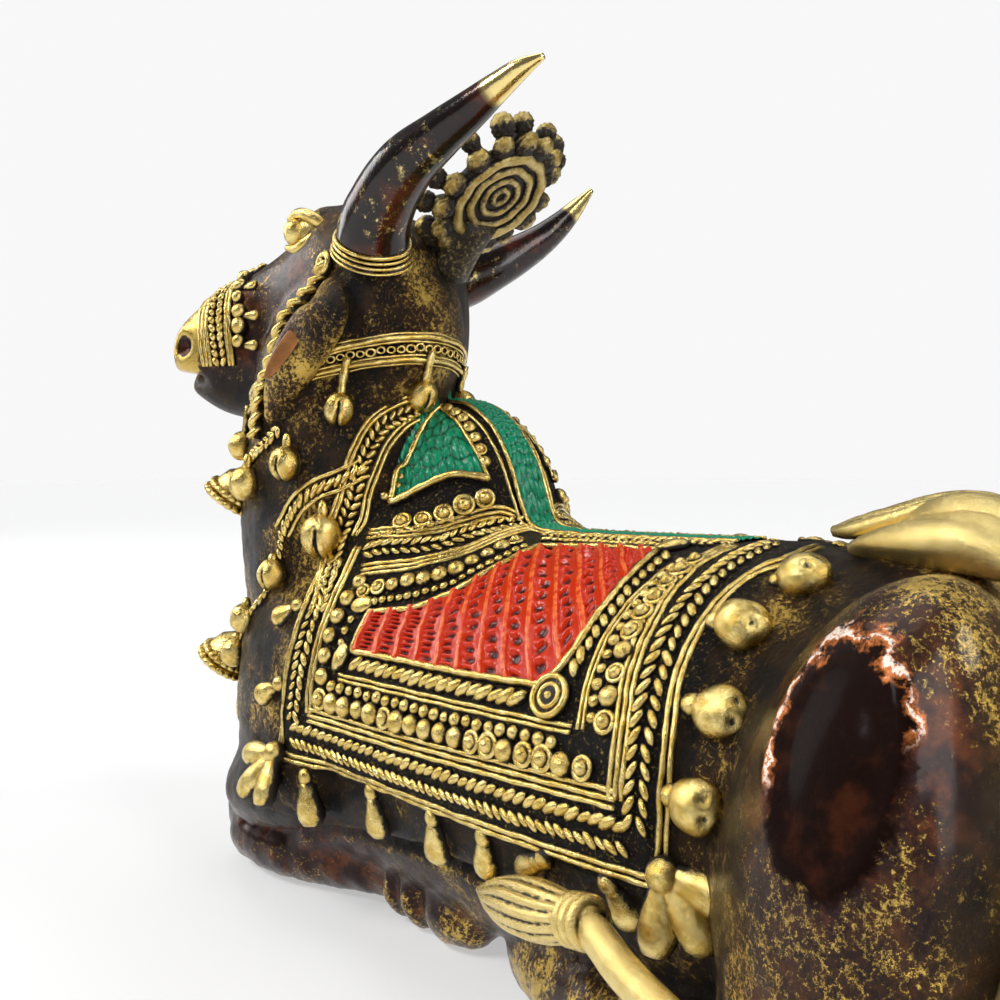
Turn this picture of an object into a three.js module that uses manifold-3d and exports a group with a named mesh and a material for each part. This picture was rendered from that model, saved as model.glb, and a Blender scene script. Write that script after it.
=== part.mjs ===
// A recumbent nandi bull, cast in brass as one piece: humped body under a bordered saddle cloth, turned head with
// swept horns and a petalled crest disc, collar, necklaces and bells, folded legs, and a tail laid round the haunch.
// Millimetres, +Z up. The bull faces -Y and its left side is +X. The origin is on the floor, under the middle of the
// casting. Inside the file a place is given as (forward, left, up) and turned into x, y, z by at().
import * as THREE from "three";
import { mergeVertices } from "three/addons/utils/BufferGeometryUtils.js";
import Module from "manifold-3d";

const wasm = await Module();
wasm.setup();

// Driving dimensions
const BODY_REAR = -95; // rump's end, forward of the frame's zero
const BODY_FRONT = 65; // chest's front
const AXIS_HEIGHT = 33; // height of the line that the body's sections are measured from

const HEAD_TURN = 27; // degrees, towards the bull's left
const POLL = [34, 3, 121]; // middle of the horn roots

const CLOTH_FRONT = 29.5;
const CLOTH_REAR = -54;
const CLOTH_HEM = 97; // degrees from straight up, on both flanks
const CLOTH_LIFT = 1; // thickness of the cloth's field
const BAND_LIFT = 1.7; // thickness of its border
const RIB_LIFT = 2.3; // and of the ribs on both sides of the border
const BORDER_WIDTH = 8.5;
const RIB_WIDTH = 1.3;
const DEGREES_PER_MM = 1.6; // on the flank, near the hem

const CREST_CENTRE = [14.1, 0.2, 130.4];
const CREST_TILT = 50; // degrees that it leans back from upright
const CREST_TURN = 10; // and is turned to the left
const CREST_RADIUS = 9.8;
const CREST_PETALS = 12;

const BELL_RADIUS = 2.6;
const RIDGE_COUNT = 13;

const RAD = Math.PI / 180;
const up = new THREE.Vector3(0, 0, 1);
const left = new THREE.Vector3(1, 0, 0);

function at(forward, side, height) {
  return new THREE.Vector3(side, -forward, height);
}

// Closed geometry from rings of points, each ring with as many points as the next, capped at both ends.
function skinned(rings) {
  const sides = rings[0].length;
  const positions = [];
  const index = [];
  for (const ring of rings) for (const p of ring) positions.push(p.x, p.y, p.z);
  for (let i = 0; i + 1 < rings.length; i++)
    for (let j = 0; j < sides; j++) {
      const a = i * sides + j;
      const b = i * sides + ((j + 1) % sides);
      index.push(a, b, b + sides, a, b + sides, a + sides);
    }
  const caps = [
    [0, rings[0], true],
    [(rings.length - 1) * sides, rings[rings.length - 1], false],
  ];
  for (const [start, ring, flip] of caps) {
    const middle = ring.reduce((sum, p) => sum.add(p), new THREE.Vector3()).divideScalar(sides);
    const centre = positions.length / 3;
    positions.push(middle.x, middle.y, middle.z);
    for (let j = 0; j < sides; j++) {
      const next = start + ((j + 1) % sides);
      if (flip) index.push(centre, next, start + j);
      else index.push(centre, start + j, next);
    }
  }
  const geometry = new THREE.BufferGeometry();
  geometry.setAttribute("position", new THREE.Float32BufferAttribute(positions, 3));
  geometry.setIndex(index);
  return geometry;
}

// A closed geometry as a solid, turned right side out.
function solid(geometry) {
  const bare = geometry.clone();
  bare.deleteAttribute("normal");
  bare.deleteAttribute("uv");
  const merged = mergeVertices(bare, 1e-4);
  const corners = merged.index.array;
  const kept = [];
  for (let i = 0; i < corners.length; i += 3) {
    const [a, b, c] = [corners[i], corners[i + 1], corners[i + 2]];
    if (a !== b && b !== c && c !== a) kept.push(a, b, c);
  }
  const triangles = new Uint32Array(kept);
  const make = () =>
    new wasm.Manifold(
      new wasm.Mesh({
        numProp: 3,
        vertProperties: new Float32Array(merged.attributes.position.array),
        triVerts: triangles,
      }),
    );
  let made = make();
  if (made.volume() < 0) {
    for (let i = 0; i < triangles.length; i += 3)
      [triangles[i + 1], triangles[i + 2]] = [triangles[i + 2], triangles[i + 1]];
    made = make();
  }
  return made;
}

// A control ring for tube(): its middle, and its half-widths to the side and across.
function ring(place, a, b = a) {
  return { c: at(...place), a, b };
}

// A tube through control rings. side is the direction that a is measured along, as near as the path allows.
function tube(controls, side, steps, sides) {
  const path = new THREE.CatmullRomCurve3(controls.map((control) => control.c), false, "centripetal");
  const sizes = new THREE.CatmullRomCurve3(
    controls.map((control) => new THREE.Vector3(control.a, control.b, 0)),
    false,
    "catmullrom",
    0.4,
  );
  const rings = [];
  for (let i = 0; i <= steps; i++) {
    const t = i / steps;
    const centre = path.getPoint(t);
    const across = new THREE.Vector3().crossVectors(path.getTangent(t), side).normalize();
    const sideways = new THREE.Vector3().crossVectors(across, path.getTangent(t)).normalize();
    const size = sizes.getPoint(t);
    rings.push(
      Array.from({ length: sides }, (_, j) => {
        const angle = (2 * Math.PI * j) / sides;
        return centre
          .clone()
          .addScaledVector(sideways, Math.max(size.x, 0.05) * Math.cos(angle))
          .addScaledVector(across, Math.max(size.y, 0.05) * Math.sin(angle));
      }),
    );
  }
  return solid(skinned(rings));
}

// Body sections: [forward, half-width, half-height, height of the middle]
const SECTIONS = [
  [BODY_REAR, 2, 2, 40],
  [BODY_REAR + 2, 13, 14, 39],
  [BODY_REAR + 8, 25, 26, 38],
  [BODY_REAR + 19, 34, 32.5, 35.5],
  [-58, 36.5, 33.5, 33],
  [-30, 36.5, 33.5, 32],
  [0, 35.5, 33.5, 32],
  [24, 35, 34.5, 33.5],
  [42, 34, 37, 36],
  [BODY_FRONT - 9, 29, 34, 38],
  [BODY_FRONT - 3, 19, 25, 40],
  [BODY_FRONT, 2, 2, 40],
];

// The section at a place along the body, between the given ones on a smooth curve.
function section(forward) {
  const last = SECTIONS.length - 1;
  let i = 0;
  while (i < last - 1 && forward > SECTIONS[i + 1][0]) i++;
  const [p0, p1, p2, p3] = [Math.max(i - 1, 0), i, i + 1, Math.min(i + 2, last)].map((n) => SECTIONS[n]);
  const span = p2[0] - p1[0];
  const t = THREE.MathUtils.clamp((forward - p1[0]) / span, 0, 1);
  return [1, 2, 3].map((n) => {
    const m1 = p2[0] === p0[0] ? 0 : ((p2[n] - p0[n]) / (p2[0] - p0[0])) * span;
    const m2 = p3[0] === p1[0] ? 0 : ((p3[n] - p1[n]) / (p3[0] - p1[0])) * span;
    const t2 = t * t;
    const t3 = t2 * t;
    return (
      (2 * t3 - 3 * t2 + 1) * p1[n] + (t3 - 2 * t2 + t) * m1 + (3 * t2 - 2 * t3) * p2[n] + (t3 - t2) * m2
    );
  });
}

// Masses that swell the body: hump, withers, two shoulders and two haunches. rear is the half-length behind the
// middle, where that is shorter than the one ahead of it.
const MASSES = [
  { c: [24, 0, 60], r: [22.5, 17, 30], rear: 21.3, blend: 3.5 },
  { c: [26, 0, 50], r: [27, 28, 24], blend: 6 },
  { c: [40, 18, 32], r: [23, 18, 34], blend: 5 },
  { c: [40, -18, 32], r: [23, 18, 34], blend: 5 },
  { c: [-80, 28, 27], r: [20, 23, 41], rear: 15, blend: 3.5 },
  { c: [-80, -28, 27], r: [20, 23, 41], rear: 15, blend: 3.5 },
];

// Distance from the body's axis to its skin, at a place along it and an angle from straight up (left is positive).
function reach(forward, angle) {
  const [w, h, mid] = section(forward);
  const s = Math.sin(angle);
  const c = Math.cos(angle);
  const rise = AXIS_HEIGHT - mid;
  const A = (s / w) ** 2 + (c / h) ** 2;
  const B = (2 * c * rise) / h ** 2;
  const C = (rise / h) ** 2 - 1;
  let r = C < 0 ? (-B + Math.sqrt(B * B - 4 * A * C)) / (2 * A) : 1;
  for (const { c: m, r: q, rear = q[0], blend } of MASSES) {
    const a = (s / q[1]) ** 2 + (c / q[2]) ** 2;
    const b = (-2 * s * m[1]) / q[1] ** 2 + (2 * c * (AXIS_HEIGHT - m[2])) / q[2] ** 2;
    const e = ((forward - m[0]) / (forward > m[0] ? q[0] : rear)) ** 2;
    const d = (m[1] / q[1]) ** 2 + ((AXIS_HEIGHT - m[2]) / q[2]) ** 2 + e - 1;
    const root = b * b - 4 * a * d;
    const hit = root > 0 ? Math.max((-b + Math.sqrt(root)) / (2 * a), 0) : 0;
    const gap = Math.abs(r - hit);
    r = (r + hit + Math.sqrt(gap ** 2 + blend ** 2)) / 2 - blend ** 2 / (gap + blend) / 8;
  }
  return r;
}

// A place on the skin, angle in degrees.
function skin(forward, degrees, lift = 0) {
  const angle = degrees * RAD;
  const r = reach(forward, angle) + lift;
  return at(forward, r * Math.sin(angle), AXIS_HEIGHT + r * Math.cos(angle));
}

// A place on the skin with its directions: outward, and down along the flank.
function spot(forward, degrees, lift = 0) {
  const p = skin(forward, degrees, lift);
  const ahead = skin(forward + 0.5, degrees).sub(skin(forward - 0.5, degrees)).normalize();
  const side = Math.sign(degrees) || 1;
  const down = skin(forward, degrees + side).sub(skin(forward, degrees - side)).normalize();
  const out = new THREE.Vector3().crossVectors(ahead, down).multiplyScalar(-side).normalize();
  return { p, ahead, down, out };
}

function body() {
  const stations = [];
  for (const f of [0.4, 2.5, 6, 11, 18, 24, 29, 34]) stations.push(BODY_REAR + f);
  for (let f = -48; f < -8; f += 14) stations.push(f);
  for (let f = -5; f < 12; f += 4) stations.push(f);
  for (let f = 15; f < BODY_FRONT - 12; f += 8) stations.push(f);
  for (const back of [10, 6, 3, 1, 0.3]) stations.push(BODY_FRONT - back);
  const sides = 24;
  const rings = stations.map((f) => Array.from({ length: sides }, (_, j) => skin(f, (360 * j) / sides)));
  return solid(skinned(rings));
}

// Places across a border of the cloth, from its edge inward: a rib, the band behind it, then the cloth's field.
function borderSteps(edge, inward, scale = 1) {
  return [
    [0, RIB_LIFT],
    [RIB_WIDTH, RIB_LIFT],
    [RIB_WIDTH + 0.15, BAND_LIFT],
    [BORDER_WIDTH, BAND_LIFT],
    [BORDER_WIDTH + 0.15, CLOTH_LIFT],
  ].map(([offset, lift]) => [edge + inward * offset * scale, lift]);
}

// The saddle cloth: a sheet over the back with a raised border along its front, rear and both hems.
function cloth() {
  const steps = 5;
  const along = borderSteps(CLOTH_FRONT, -1);
  for (const f of [16, 11, 7.5, 4.5, 1.5, -2, -8, -24, -40]) along.push([f, CLOTH_LIFT]);
  along.push(...borderSteps(CLOTH_REAR, 1).reverse());
  const across = borderSteps(CLOTH_HEM, -1, DEGREES_PER_MM);
  for (const a of [64, 44, 26, 9, -9, -26, -44, -64]) across.push([a, CLOTH_LIFT]);
  across.push(...borderSteps(-CLOTH_HEM, 1, DEGREES_PER_MM).reverse());
  const border = (n, list) => n < steps || n >= list.length - steps;
  const rings = along.map(([f, liftAlong], i) => {
    const outer = across.map(([a, liftAcross], j) => {
      const onAlong = border(i, along);
      const onAcross = border(j, across);
      const lift = onAlong && onAcross ? Math.max(liftAlong, liftAcross) : onAlong ? liftAlong : liftAcross;
      return skin(f, a, lift);
    });
    const inner = [96, 48, 0, -48, -96].map((a) => skin(f, a, -5));
    return [...outer, ...inner.reverse()];
  });
  return solid(skinned(rings));
}

function placed(geometry, { p, out, down }, turn = 0) {
  const y = down.clone().applyAxisAngle(out, turn * RAD);
  const x = new THREE.Vector3().crossVectors(y, out).normalize();
  const z = new THREE.Vector3().crossVectors(x, y).normalize();
  geometry.applyMatrix4(new THREE.Matrix4().makeBasis(x, y, z).setPosition(p));
  return solid(geometry);
}

// A bead: one corner of it stands out from the skin.
function bead(where, radius) {
  return placed(new THREE.OctahedronGeometry(radius).rotateX(Math.PI / 2), where);
}

function ball(where, radius) {
  return placed(new THREE.IcosahedronGeometry(radius), where);
}

// A drop that hangs down the skin, its wide end lowest. swing turns it about its upper end, in degrees.
function drop(where, length, radius, swing = 0) {
  const profile = [
    [0, 0],
    [radius, length * 0.75],
    [0, length],
  ].map(([x, y]) => new THREE.Vector2(x, y));
  return placed(new THREE.LatheGeometry(profile, 4, Math.PI / 4), where, swing);
}

function fringe(side) {
  const parts = [];
  for (let n = 0; n < 6; n++) parts.push(drop(spot(21 - n * 13, side * (102 - n * 0.8), 0.2), 9.5, 2.3));
  for (const degrees of [58, 79]) parts.push(drop(spot(CLOTH_FRONT, side * degrees, 0.5), 8, 2, -side * 75));
  for (const [forward, swing] of [
    [CLOTH_FRONT, -side * 28],
    [CLOTH_REAR, side * 28],
  ]) {
    const where = spot(forward, side * CLOTH_HEM, 0.4);
    parts.push(bead(where, 2.2));
    for (const fan of [-36, 0, 36]) parts.push(drop(where, 10, 2.2, fan + swing));
  }
  for (const degrees of [27, 44, 62, 80]) parts.push(ball(spot(CLOTH_REAR - 5, side * degrees, 0.8), BELL_RADIUS));
  return parts;
}

// Beads on the cloth: a row over the hem's border, a row round the hump's foot and columns before and behind.
function clothBeads(side) {
  const parts = [];
  for (let n = 0; n < 7; n++) parts.push(bead(spot(17 - n * 8.5, side * 77, CLOTH_LIFT + 0.2), 1.9));
  const hump = [
    [17, 29],
    [13, 24.5],
    [9.5, 18.5],
    [6, 11.5],
  ];
  for (const [forward, degrees] of hump) parts.push(bead(spot(forward, side * degrees, CLOTH_LIFT + 0.2), 1.8));
  for (let n = 0; n < 3; n++) parts.push(bead(spot(-40, side * (66 - n * 16), CLOTH_LIFT + 0.2), 1.9));
  parts.push(placed(new THREE.CylinderGeometry(2.6, 3, 3, 8).rotateX(Math.PI / 2), spot(-33.5, side * 65.5, 1)));
  return parts;
}

// The flank's panel: near-upright ridges between a slanting upper edge and a level lower one.
function panel(side) {
  const rings = [];
  for (let n = 0; n < 2 * RIDGE_COUNT; n++) {
    const t = n / (2 * RIDGE_COUNT - 1);
    const lift = n % 2 ? 1.5 : 2.3;
    const forward = 12 - 44 * t;
    const degreesTop = 54 - 36 * Math.min(1, t * 2.1) ** 0.8;
    const outer = [0, 0.5, 1].map((q) => skin(forward, side * (65 + (degreesTop - 65) * q), lift));
    const inner = [1, 0].map((q) => skin(forward, side * (65 + (degreesTop - 65) * q), -3));
    rings.push([...outer, ...inner]);
  }
  return [solid(skinned(rings))];
}

// Neck and breast sections: [forward, left, up, half-length, half-width]
const NECK = [
  [36, 1, 18, 24, 21],
  [40, 4, 40, 28, 26],
  [44.5, 8, 58, 26.5, 25],
  [45.5, 10.5, 74, 24, 23],
  [45, 11.5, 88, 21.5, 20.5],
  [43.5, 11, 98, 20.5, 19.5],
  [39, 9, 108, 19, 17.5],
  [36, 6, 117, 13, 12],
  [35, 5, 121, 8, 7],
];

function neck() {
  const controls = NECK.map(([forward, side, height, a, b]) => ring([forward, side, height], b, a));
  return tube(controls, left, 10, 14);
}

// A place on the neck or breast at a height: degrees round from straight ahead, left is positive.
function onNeck(degrees, height, lift = 0) {
  let i = 0;
  while (i < NECK.length - 2 && height > NECK[i + 1][2]) i++;
  const t = (height - NECK[i][2]) / (NECK[i + 1][2] - NECK[i][2]);
  const [forward, side, , a, b] = NECK[i].map((v, n) => v + (NECK[i + 1][n] - v) * t);
  return at(
    forward + (a + lift) * Math.cos(degrees * RAD),
    side + (b + lift) * Math.sin(degrees * RAD),
    height,
  );
}

// A place in the head's own frame: ahead of the poll, to the head's left, above the poll.
const turn = HEAD_TURN * RAD;
const headLeft = at(-Math.sin(turn), Math.cos(turn), 0);
function onHead(ahead, side, above) {
  return [
    POLL[0] + ahead * Math.cos(turn) - side * Math.sin(turn),
    POLL[1] + ahead * Math.sin(turn) + side * Math.cos(turn),
    POLL[2] + above,
  ];
}

// Head sections: [ahead of the poll, half-width, top, bottom above the floor, squareness]
const HEAD_SECTIONS = [
  [-7, 7, 120, 102, 2],
  [-6, 11.5, 123, 97, 2.1],
  [-2, 19.5, 127, 91, 2.6],
  [4, 22, 130, 87, 2.7],
  [12, 18.5, 132.5, 85.5, 2.5],
  [20, 14.8, 131.5, 85, 2.5],
  [28, 12, 125.5, 86, 2.2],
  [35, 10.6, 121.5, 88, 2.2],
  [48, 9.5, 115.5, 91.5, 2.2],
  [53, 9, 112.5, 94.5, 2.1],
  [56, 7.6, 110.5, 97, 2.1],
  [58, 4.5, 107.5, 100, 2],
];

function headRing([ahead, half, top, bottom, squareness], sides, swell = 0) {
  return Array.from({ length: sides }, (_, j) => {
    const angle = (2 * Math.PI * (j + 0.5)) / sides;
    const c = Math.cos(angle);
    const s = Math.sin(angle);
    const side = (half + swell) * Math.sign(c) * Math.abs(c) ** (2 / squareness);
    const rise = ((top - bottom) / 2 + swell) * Math.sign(s) * Math.abs(s) ** (2 / squareness);
    return at(...onHead(ahead, side, (top + bottom) / 2 - POLL[2] + rise));
  });
}

// A place on the head's side, lift out from it.
function onFace(ahead, side, above, lift = 0) {
  let i = 0;
  while (i < HEAD_SECTIONS.length - 2 && ahead > HEAD_SECTIONS[i + 1][0]) i++;
  const [from, to] = [HEAD_SECTIONS[i], HEAD_SECTIONS[i + 1]];
  const t = (ahead - from[0]) / (to[0] - from[0]);
  const [, half, top, bottom, squareness] = from.map((v, n) => v + (to[n] - v) * t);
  const v = Math.abs((2 * (above + POLL[2]) - top - bottom) / (top - bottom));
  return onHead(ahead, side * (half * Math.max(0, 1 - v ** squareness) ** (1 / squareness) + lift), above);
}

function head() {
  const parts = [solid(skinned(HEAD_SECTIONS.map((row) => headRing(row, 12))))];
  const band = [
    [38, 10.2, 120, 88.8, 2.2],
    [38.3, 10.2, 120, 88.8, 2.2],
    [49, 9.4, 115, 92, 2.2],
    [49.3, 9.4, 115, 92, 2.2],
  ];
  const swells = [-2, 1.1, 1.1, -2];
  parts.push(solid(skinned(band.map((row, i) => headRing(row, 12, swells[i])))));
  for (const side of [1, -1]) {
    const eye = at(...onFace(22.5, side, 4.5, 0.3));
    parts.push(solid(new THREE.SphereGeometry(3, 6, 4).translate(eye.x, eye.y, eye.z)));
    for (const rise of [1, 6.6])
      parts.push(
        tube(
          [ring(onFace(23, side, 3 + (rise - 3) * 0.8, 0.2), 0.9), ring(onFace(14, side, 4, 0.2), 1.3)],
          up,
          1,
          4,
        ),
      );
    for (let n = 0; n < 3; n++) {
      const p = at(...onFace(36.5, side, -3 - n * 6, 0));
      parts.push(solid(new THREE.OctahedronGeometry(1.9).translate(p.x, p.y, p.z)));
    }
    parts.push(ear(side), horn(side > 0 ? HORN_LEFT : HORN_RIGHT), halter(side));
  }
  let made = union(parts);
  const lips = at(...onHead(57, 0, -23.5));
  const mouth = new THREE.BoxGeometry(26, 12, 1.5).rotateZ(turn).translate(lips.x, lips.y, lips.z);
  made = made.subtract(solid(mouth));
  for (const side of [1, -1]) {
    const nostril = at(...onFace(56, side, -17, 0.4));
    made = made.subtract(solid(new THREE.OctahedronGeometry(1.9).translate(nostril.x, nostril.y, nostril.z)));
  }
  return made;
}

// Ears and halter start on the head and lie against the neck lower down. degrees are those of the left side.
function beside(side, degrees, height, lift) {
  const p = onNeck(side > 0 ? degrees : 2 * HEAD_TURN - degrees, height, lift);
  return [-p.y, p.x, p.z];
}

function ear(side) {
  return tube(
    [
      ring(onFace(9, side, -8, 0.5), 1.8, 2.6),
      ring(beside(side, 116, 107, 4), 2.4, 5),
      ring(beside(side, 111, 100, 3), 2.4, 5.6),
      ring(beside(side, 103, 93, 1.8), 2, 3.8),
      ring(beside(side, 96, 87, 0.8), 0.9, 1.2),
    ],
    headLeft,
    6,
    6,
  );
}

function halter(side) {
  return tube(
    [
      ring(onFace(10.5, side, -3.5, 0.6), 1.3),
      ring(onFace(14, side, -10, 0.7), 1.3),
      ring(beside(side, 82, 107, 1), 1.3),
      ring(beside(side, 87, 102, 0.8), 1.3),
      ring(beside(side, 85, 91.7, 0.5), 1.3),
      ring(beside(side, 85, 84, 0.4), 1.3),
    ],
    headLeft,
    7,
    4,
  );
}

// Horn rings: [forward, left, up, radius]
const HORN_LEFT = [
  [30, 17.5, 117, 6.9],
  [28.6, 18.7, 119, 6.9],
  [25.5, 20.5, 123.5, 6.7],
  [21.5, 21.5, 126.8, 6.1],
  [13.5, 22.5, 131.5, 5.2],
  [4.5, 22.2, 134.8, 4],
  [-3, 21.5, 137.5, 3.1],
  [-8.5, 20.5, 140, 2.3],
  [-12.5, 19.3, 142, 1.6],
  [-16, 18, 143.2, 0.5],
];
const HORN_RIGHT = [
  [46, -9, 117, 6.6],
  [43.5, -12.5, 119, 6.6],
  [40.5, -16, 120.5, 6],
  [37, -19.5, 122.5, 5],
  [33.9, -24, 125.5, 4.3],
  [31, -28.6, 129, 3.5],
  [28.5, -32.6, 133, 2.7],
  [26.8, -36, 137, 1.8],
  [25, -39, 141, 0.6],
];

function horn(points) {
  const controls = points.map(([forward, side, height, radius]) => ring([forward, side, height], radius));
  const [first, , third] = controls;
  const axis = third.c.clone().sub(first.c).normalize();
  const collar = new THREE.CylinderGeometry(controls[1].a + 0.9, controls[1].a + 0.9, 1.6, 8);
  collar.applyQuaternion(new THREE.Quaternion().setFromUnitVectors(new THREE.Vector3(0, 1, 0), axis));
  collar.translate(controls[1].c.x, controls[1].c.y, controls[1].c.z);
  return tube(controls, up, 8, 7).add(solid(collar));
}

// The crest behind the horns: a ringed disc on a scalloped plate, with a tier of pointed petals over it.
function crest() {
  const profile = [
    [0, -2.2],
    [4.6, -2.2],
    [5, -1.4],
    [7.4, -1.4],
    [7.8, -2.2],
    [CREST_RADIUS, -2],
    [CREST_RADIUS, 2],
    [0, 3.6],
  ].map(([x, y]) => new THREE.Vector2(x, y));
  const outline = new THREE.Shape();
  const corners = 3 * CREST_PETALS;
  for (let n = 0; n < corners; n++) {
    const r = CREST_RADIUS + (n % 3 === 0 ? 1 : 3.6);
    const angle = ((n + (n % 3 === 0 ? 0 : n % 3 === 1 ? -0.1 : 0.1)) * 2 * Math.PI) / corners;
    if (n === 0) outline.moveTo(r * Math.cos(angle), r * Math.sin(angle));
    else outline.lineTo(r * Math.cos(angle), r * Math.sin(angle));
  }
  const parts = [
    new THREE.LatheGeometry(profile, CREST_PETALS).rotateX(Math.PI / 2),
    new THREE.ExtrudeGeometry(outline, { depth: 2.2, bevelEnabled: false }).translate(0, 0, -1),
  ];
  for (let n = 0; n < CREST_PETALS; n++) {
    const petal = new THREE.OctahedronGeometry(2.4).translate(CREST_RADIUS + 4.4, 0, 1.8);
    parts.push(petal.rotateZ((2 * Math.PI * (n + 0.5)) / CREST_PETALS));
  }
  const lean = CREST_TILT * RAD;
  const veer = CREST_TURN * RAD;
  const front = at(Math.cos(lean) * Math.cos(veer), Math.cos(lean) * Math.sin(veer), Math.sin(lean));
  const across = at(-Math.sin(veer), Math.cos(veer), 0);
  const frame = new THREE.Matrix4().makeBasis(across, new THREE.Vector3().crossVectors(front, across), front);
  frame.setPosition(at(...CREST_CENTRE));
  const made = parts.map((part) => solid(part.applyMatrix4(frame)));
  made.push(tube([ring([18, 0.8, 126], 4, 3), ring([27, 1, 119], 5, 4)], left, 1, 6));
  return union(made);
}

// The collar round the neck, higher at the nape, and four bells on bars below it
function collar() {
  const height = (degrees) => 94.5 - 6.5 * Math.cos(degrees * RAD);
  const belt = [
    [-1.7, -2],
    [-1.7, 1.8],
    [1.7, 1.8],
    [1.7, -2],
  ].map(([rise, lift]) => Array.from({ length: 12 }, (_, j) => onNeck(30 * j, height(30 * j) + rise, lift)));
  const parts = [solid(skinned(belt))];
  for (const [degrees, hang] of [
    [180, 9],
    [136, 11],
    [-140, 9],
    [-95, 10],
  ]) {
    const p = onNeck(degrees, height(degrees) - hang, 1);
    parts.push(solid(new THREE.IcosahedronGeometry(2.8).translate(p.x, p.y, p.z)));
    parts.push(solid(new THREE.BoxGeometry(1.6, 1.6, hang).translate(p.x, p.y, p.z + hang / 2)));
  }
  return union(parts);
}

// A cord that hangs over the breast from both sides of the neck, with round bells below it
function necklace(top, sag, count, radius) {
  const span = 105;
  const points = [];
  for (let n = 0; n <= 10; n++) {
    const degrees = -span + (2 * span * n) / 10;
    points.push(onNeck(degrees, top - sag * Math.cos((degrees / span) * (Math.PI / 2)), 0.5));
  }
  const parts = [capped(points, points.map(() => 1.4), 10, 3)];
  for (let n = 0; n < count; n++) {
    const t = (n + 0.5) / count;
    const degrees = -span + 2 * span * t;
    const size = radius * (1 + 0.4 * Math.sin(Math.PI * t) ** 4);
    const p = onNeck(degrees, top - sag * Math.sin(Math.PI * t) - size * 1.3, 0.8);
    parts.push(solid(new THREE.IcosahedronGeometry(size).translate(p.x, p.y, p.z)));
  }
  return parts;
}

function capped(path, radii, steps, sides) {
  const controls = path.map((c, i) => ({ c, a: radii[i], b: radii[i] }));
  return tube(controls, up, steps, sides);
}

// The tail: a thick root under a leaf, round the rump and haunch, then forward along the flank to a ringed tuft
const TAIL = [
  [-62, 4, -1, 4],
  [-72, 5, 0.8, 6],
  [-81, 10, 1.5, 5.5],
  [-88, 22, 1.5, 4.6],
  [-92, 42, 1.5, 3.8],
  [-93, 66, 1.5, 3.2],
  [-91.5, 88, 1.5, 2.8],
  [-87, 99, 1.4, 2.6],
  [-79, 102, 1.4, 2.5],
  [-71, 100, 1.4, 2.4],
  [-64, 100.5, 1.4, 2.4],
  [-57, 101.5, 1.6, 2.4],
  [-50, 102, 2, 2.5],
];

function tail() {
  const path = TAIL.map(([forward, degrees, lift]) => skin(forward, degrees, lift));
  const parts = [capped(path, TAIL.map((row) => row[3]), 15, 5)];
  parts.push(
    tube(
      [
        ring([-50, 43, 26], 3.6, 3.6),
        ring([-47, 42.5, 25.3], 3.7, 3.7),
        ring([-38, 41, 23.5], 4.2, 4),
        ring([-30, 39, 21.8], 3.2, 3),
        ring([-23, 37, 20.2], 0.8, 0.8),
      ],
      up,
      5,
      7,
    ),
    tube(
      [
        ring([-56, 1.5, 69.2], 1, 0.8),
        ring([-60, 1, 69.8], 5, 1.7),
        ring([-66, 0.5, 71.6], 6.5, 2),
        ring([-73, 0.5, 72.6], 5, 2),
        ring([-80, 1, 70], 1, 0.8),
      ],
      left,
      5,
      6,
    ),
  );
  return union(parts);
}

function legs(side) {
  const fore = [
    ring([56, side * 26, 7], 5, 5),
    ring([52.5, side * 27, 8], 8.5, 8.5),
    ring([42, side * 26.5, 8], 8, 8),
    ring([30, side * 22, 7.5], 6.5, 7),
    ring([20, side * 18.5, 7], 5.5, 6.5),
    ring([10, side * 20, 6.5], 6.5, 6.5),
    ring([0, side * 20.5, 6.5], 6.5, 7),
    ring([-8, side * 20, 6], 4.5, 4),
  ];
  const hind = [
    ring([-80, side * 34, 10], 9, 10),
    ring([-60, side * 34, 8], 8, 8),
    ring([-40, side * 30, 7], 6.5, 7),
    ring([-28, side * 25, 7], 7, 7),
    ring([-17, side * 22, 6.5], 5, 5),
  ];
  const parts = [tube(fore, left, 8, 7), tube(hind, left, 5, 7)];
  const band = new THREE.CylinderGeometry(7.3, 7.3, 4, 7);
  parts.push(solid(band.translate(...at(10, side * 19.8, 6.6).toArray())));
  return parts;
}

function union(parts) {
  return parts.reduce((whole, part) => whole.add(part));
}

function build() {
  const parts = [body(), neck(), cloth(), head(), crest(), collar(), tail()];
  parts.push(...necklace(84, 12, 6, 2.8), ...necklace(76, 32, 7, 3));
  for (const side of [1, -1]) parts.push(...legs(side), ...clothBeads(side), ...panel(side), ...fringe(side));
  const size = 400;
  const floor = solid(new THREE.BoxGeometry(size, size, size).translate(0, 0, -size / 2));
  return union(parts).subtract(floor);
}

function toMesh(made, name) {
  const data = made.getMesh();
  const geometry = new THREE.BufferGeometry();
  geometry.setAttribute("position", new THREE.BufferAttribute(new Float32Array(data.vertProperties), 3));
  geometry.setIndex(new THREE.BufferAttribute(data.triVerts, 1));
  const material = new THREE.MeshStandardMaterial({ color: 0x6b4a22, roughness: 0.35, metalness: 1 });
  const mesh = new THREE.Mesh(geometry, material);
  mesh.name = name;
  return mesh;
}

const casting = build();
const { min, max } = casting.boundingBox();
const group = new THREE.Group();
group.add(toMesh(casting.translate([-(min[0] + max[0]) / 2, -(min[1] + max[1]) / 2, -min[2]]), "nandi_bull"));
export default group;
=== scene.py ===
# Looks of the nandi bull: a lost-wax casting in dark patinated brass, with polished relief of threads, braids
# and beads, red and green enamel, and lacquered horns, face and thighs. Forms are worked out in millimetres
# as (forward, left, up), seen from the bull itself, and set into the frame in metres at the end.
import math
import random

import bpy
import numpy as np
from mathutils import Matrix, Vector
from mathutils.bvhtree import BVHTree


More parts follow.
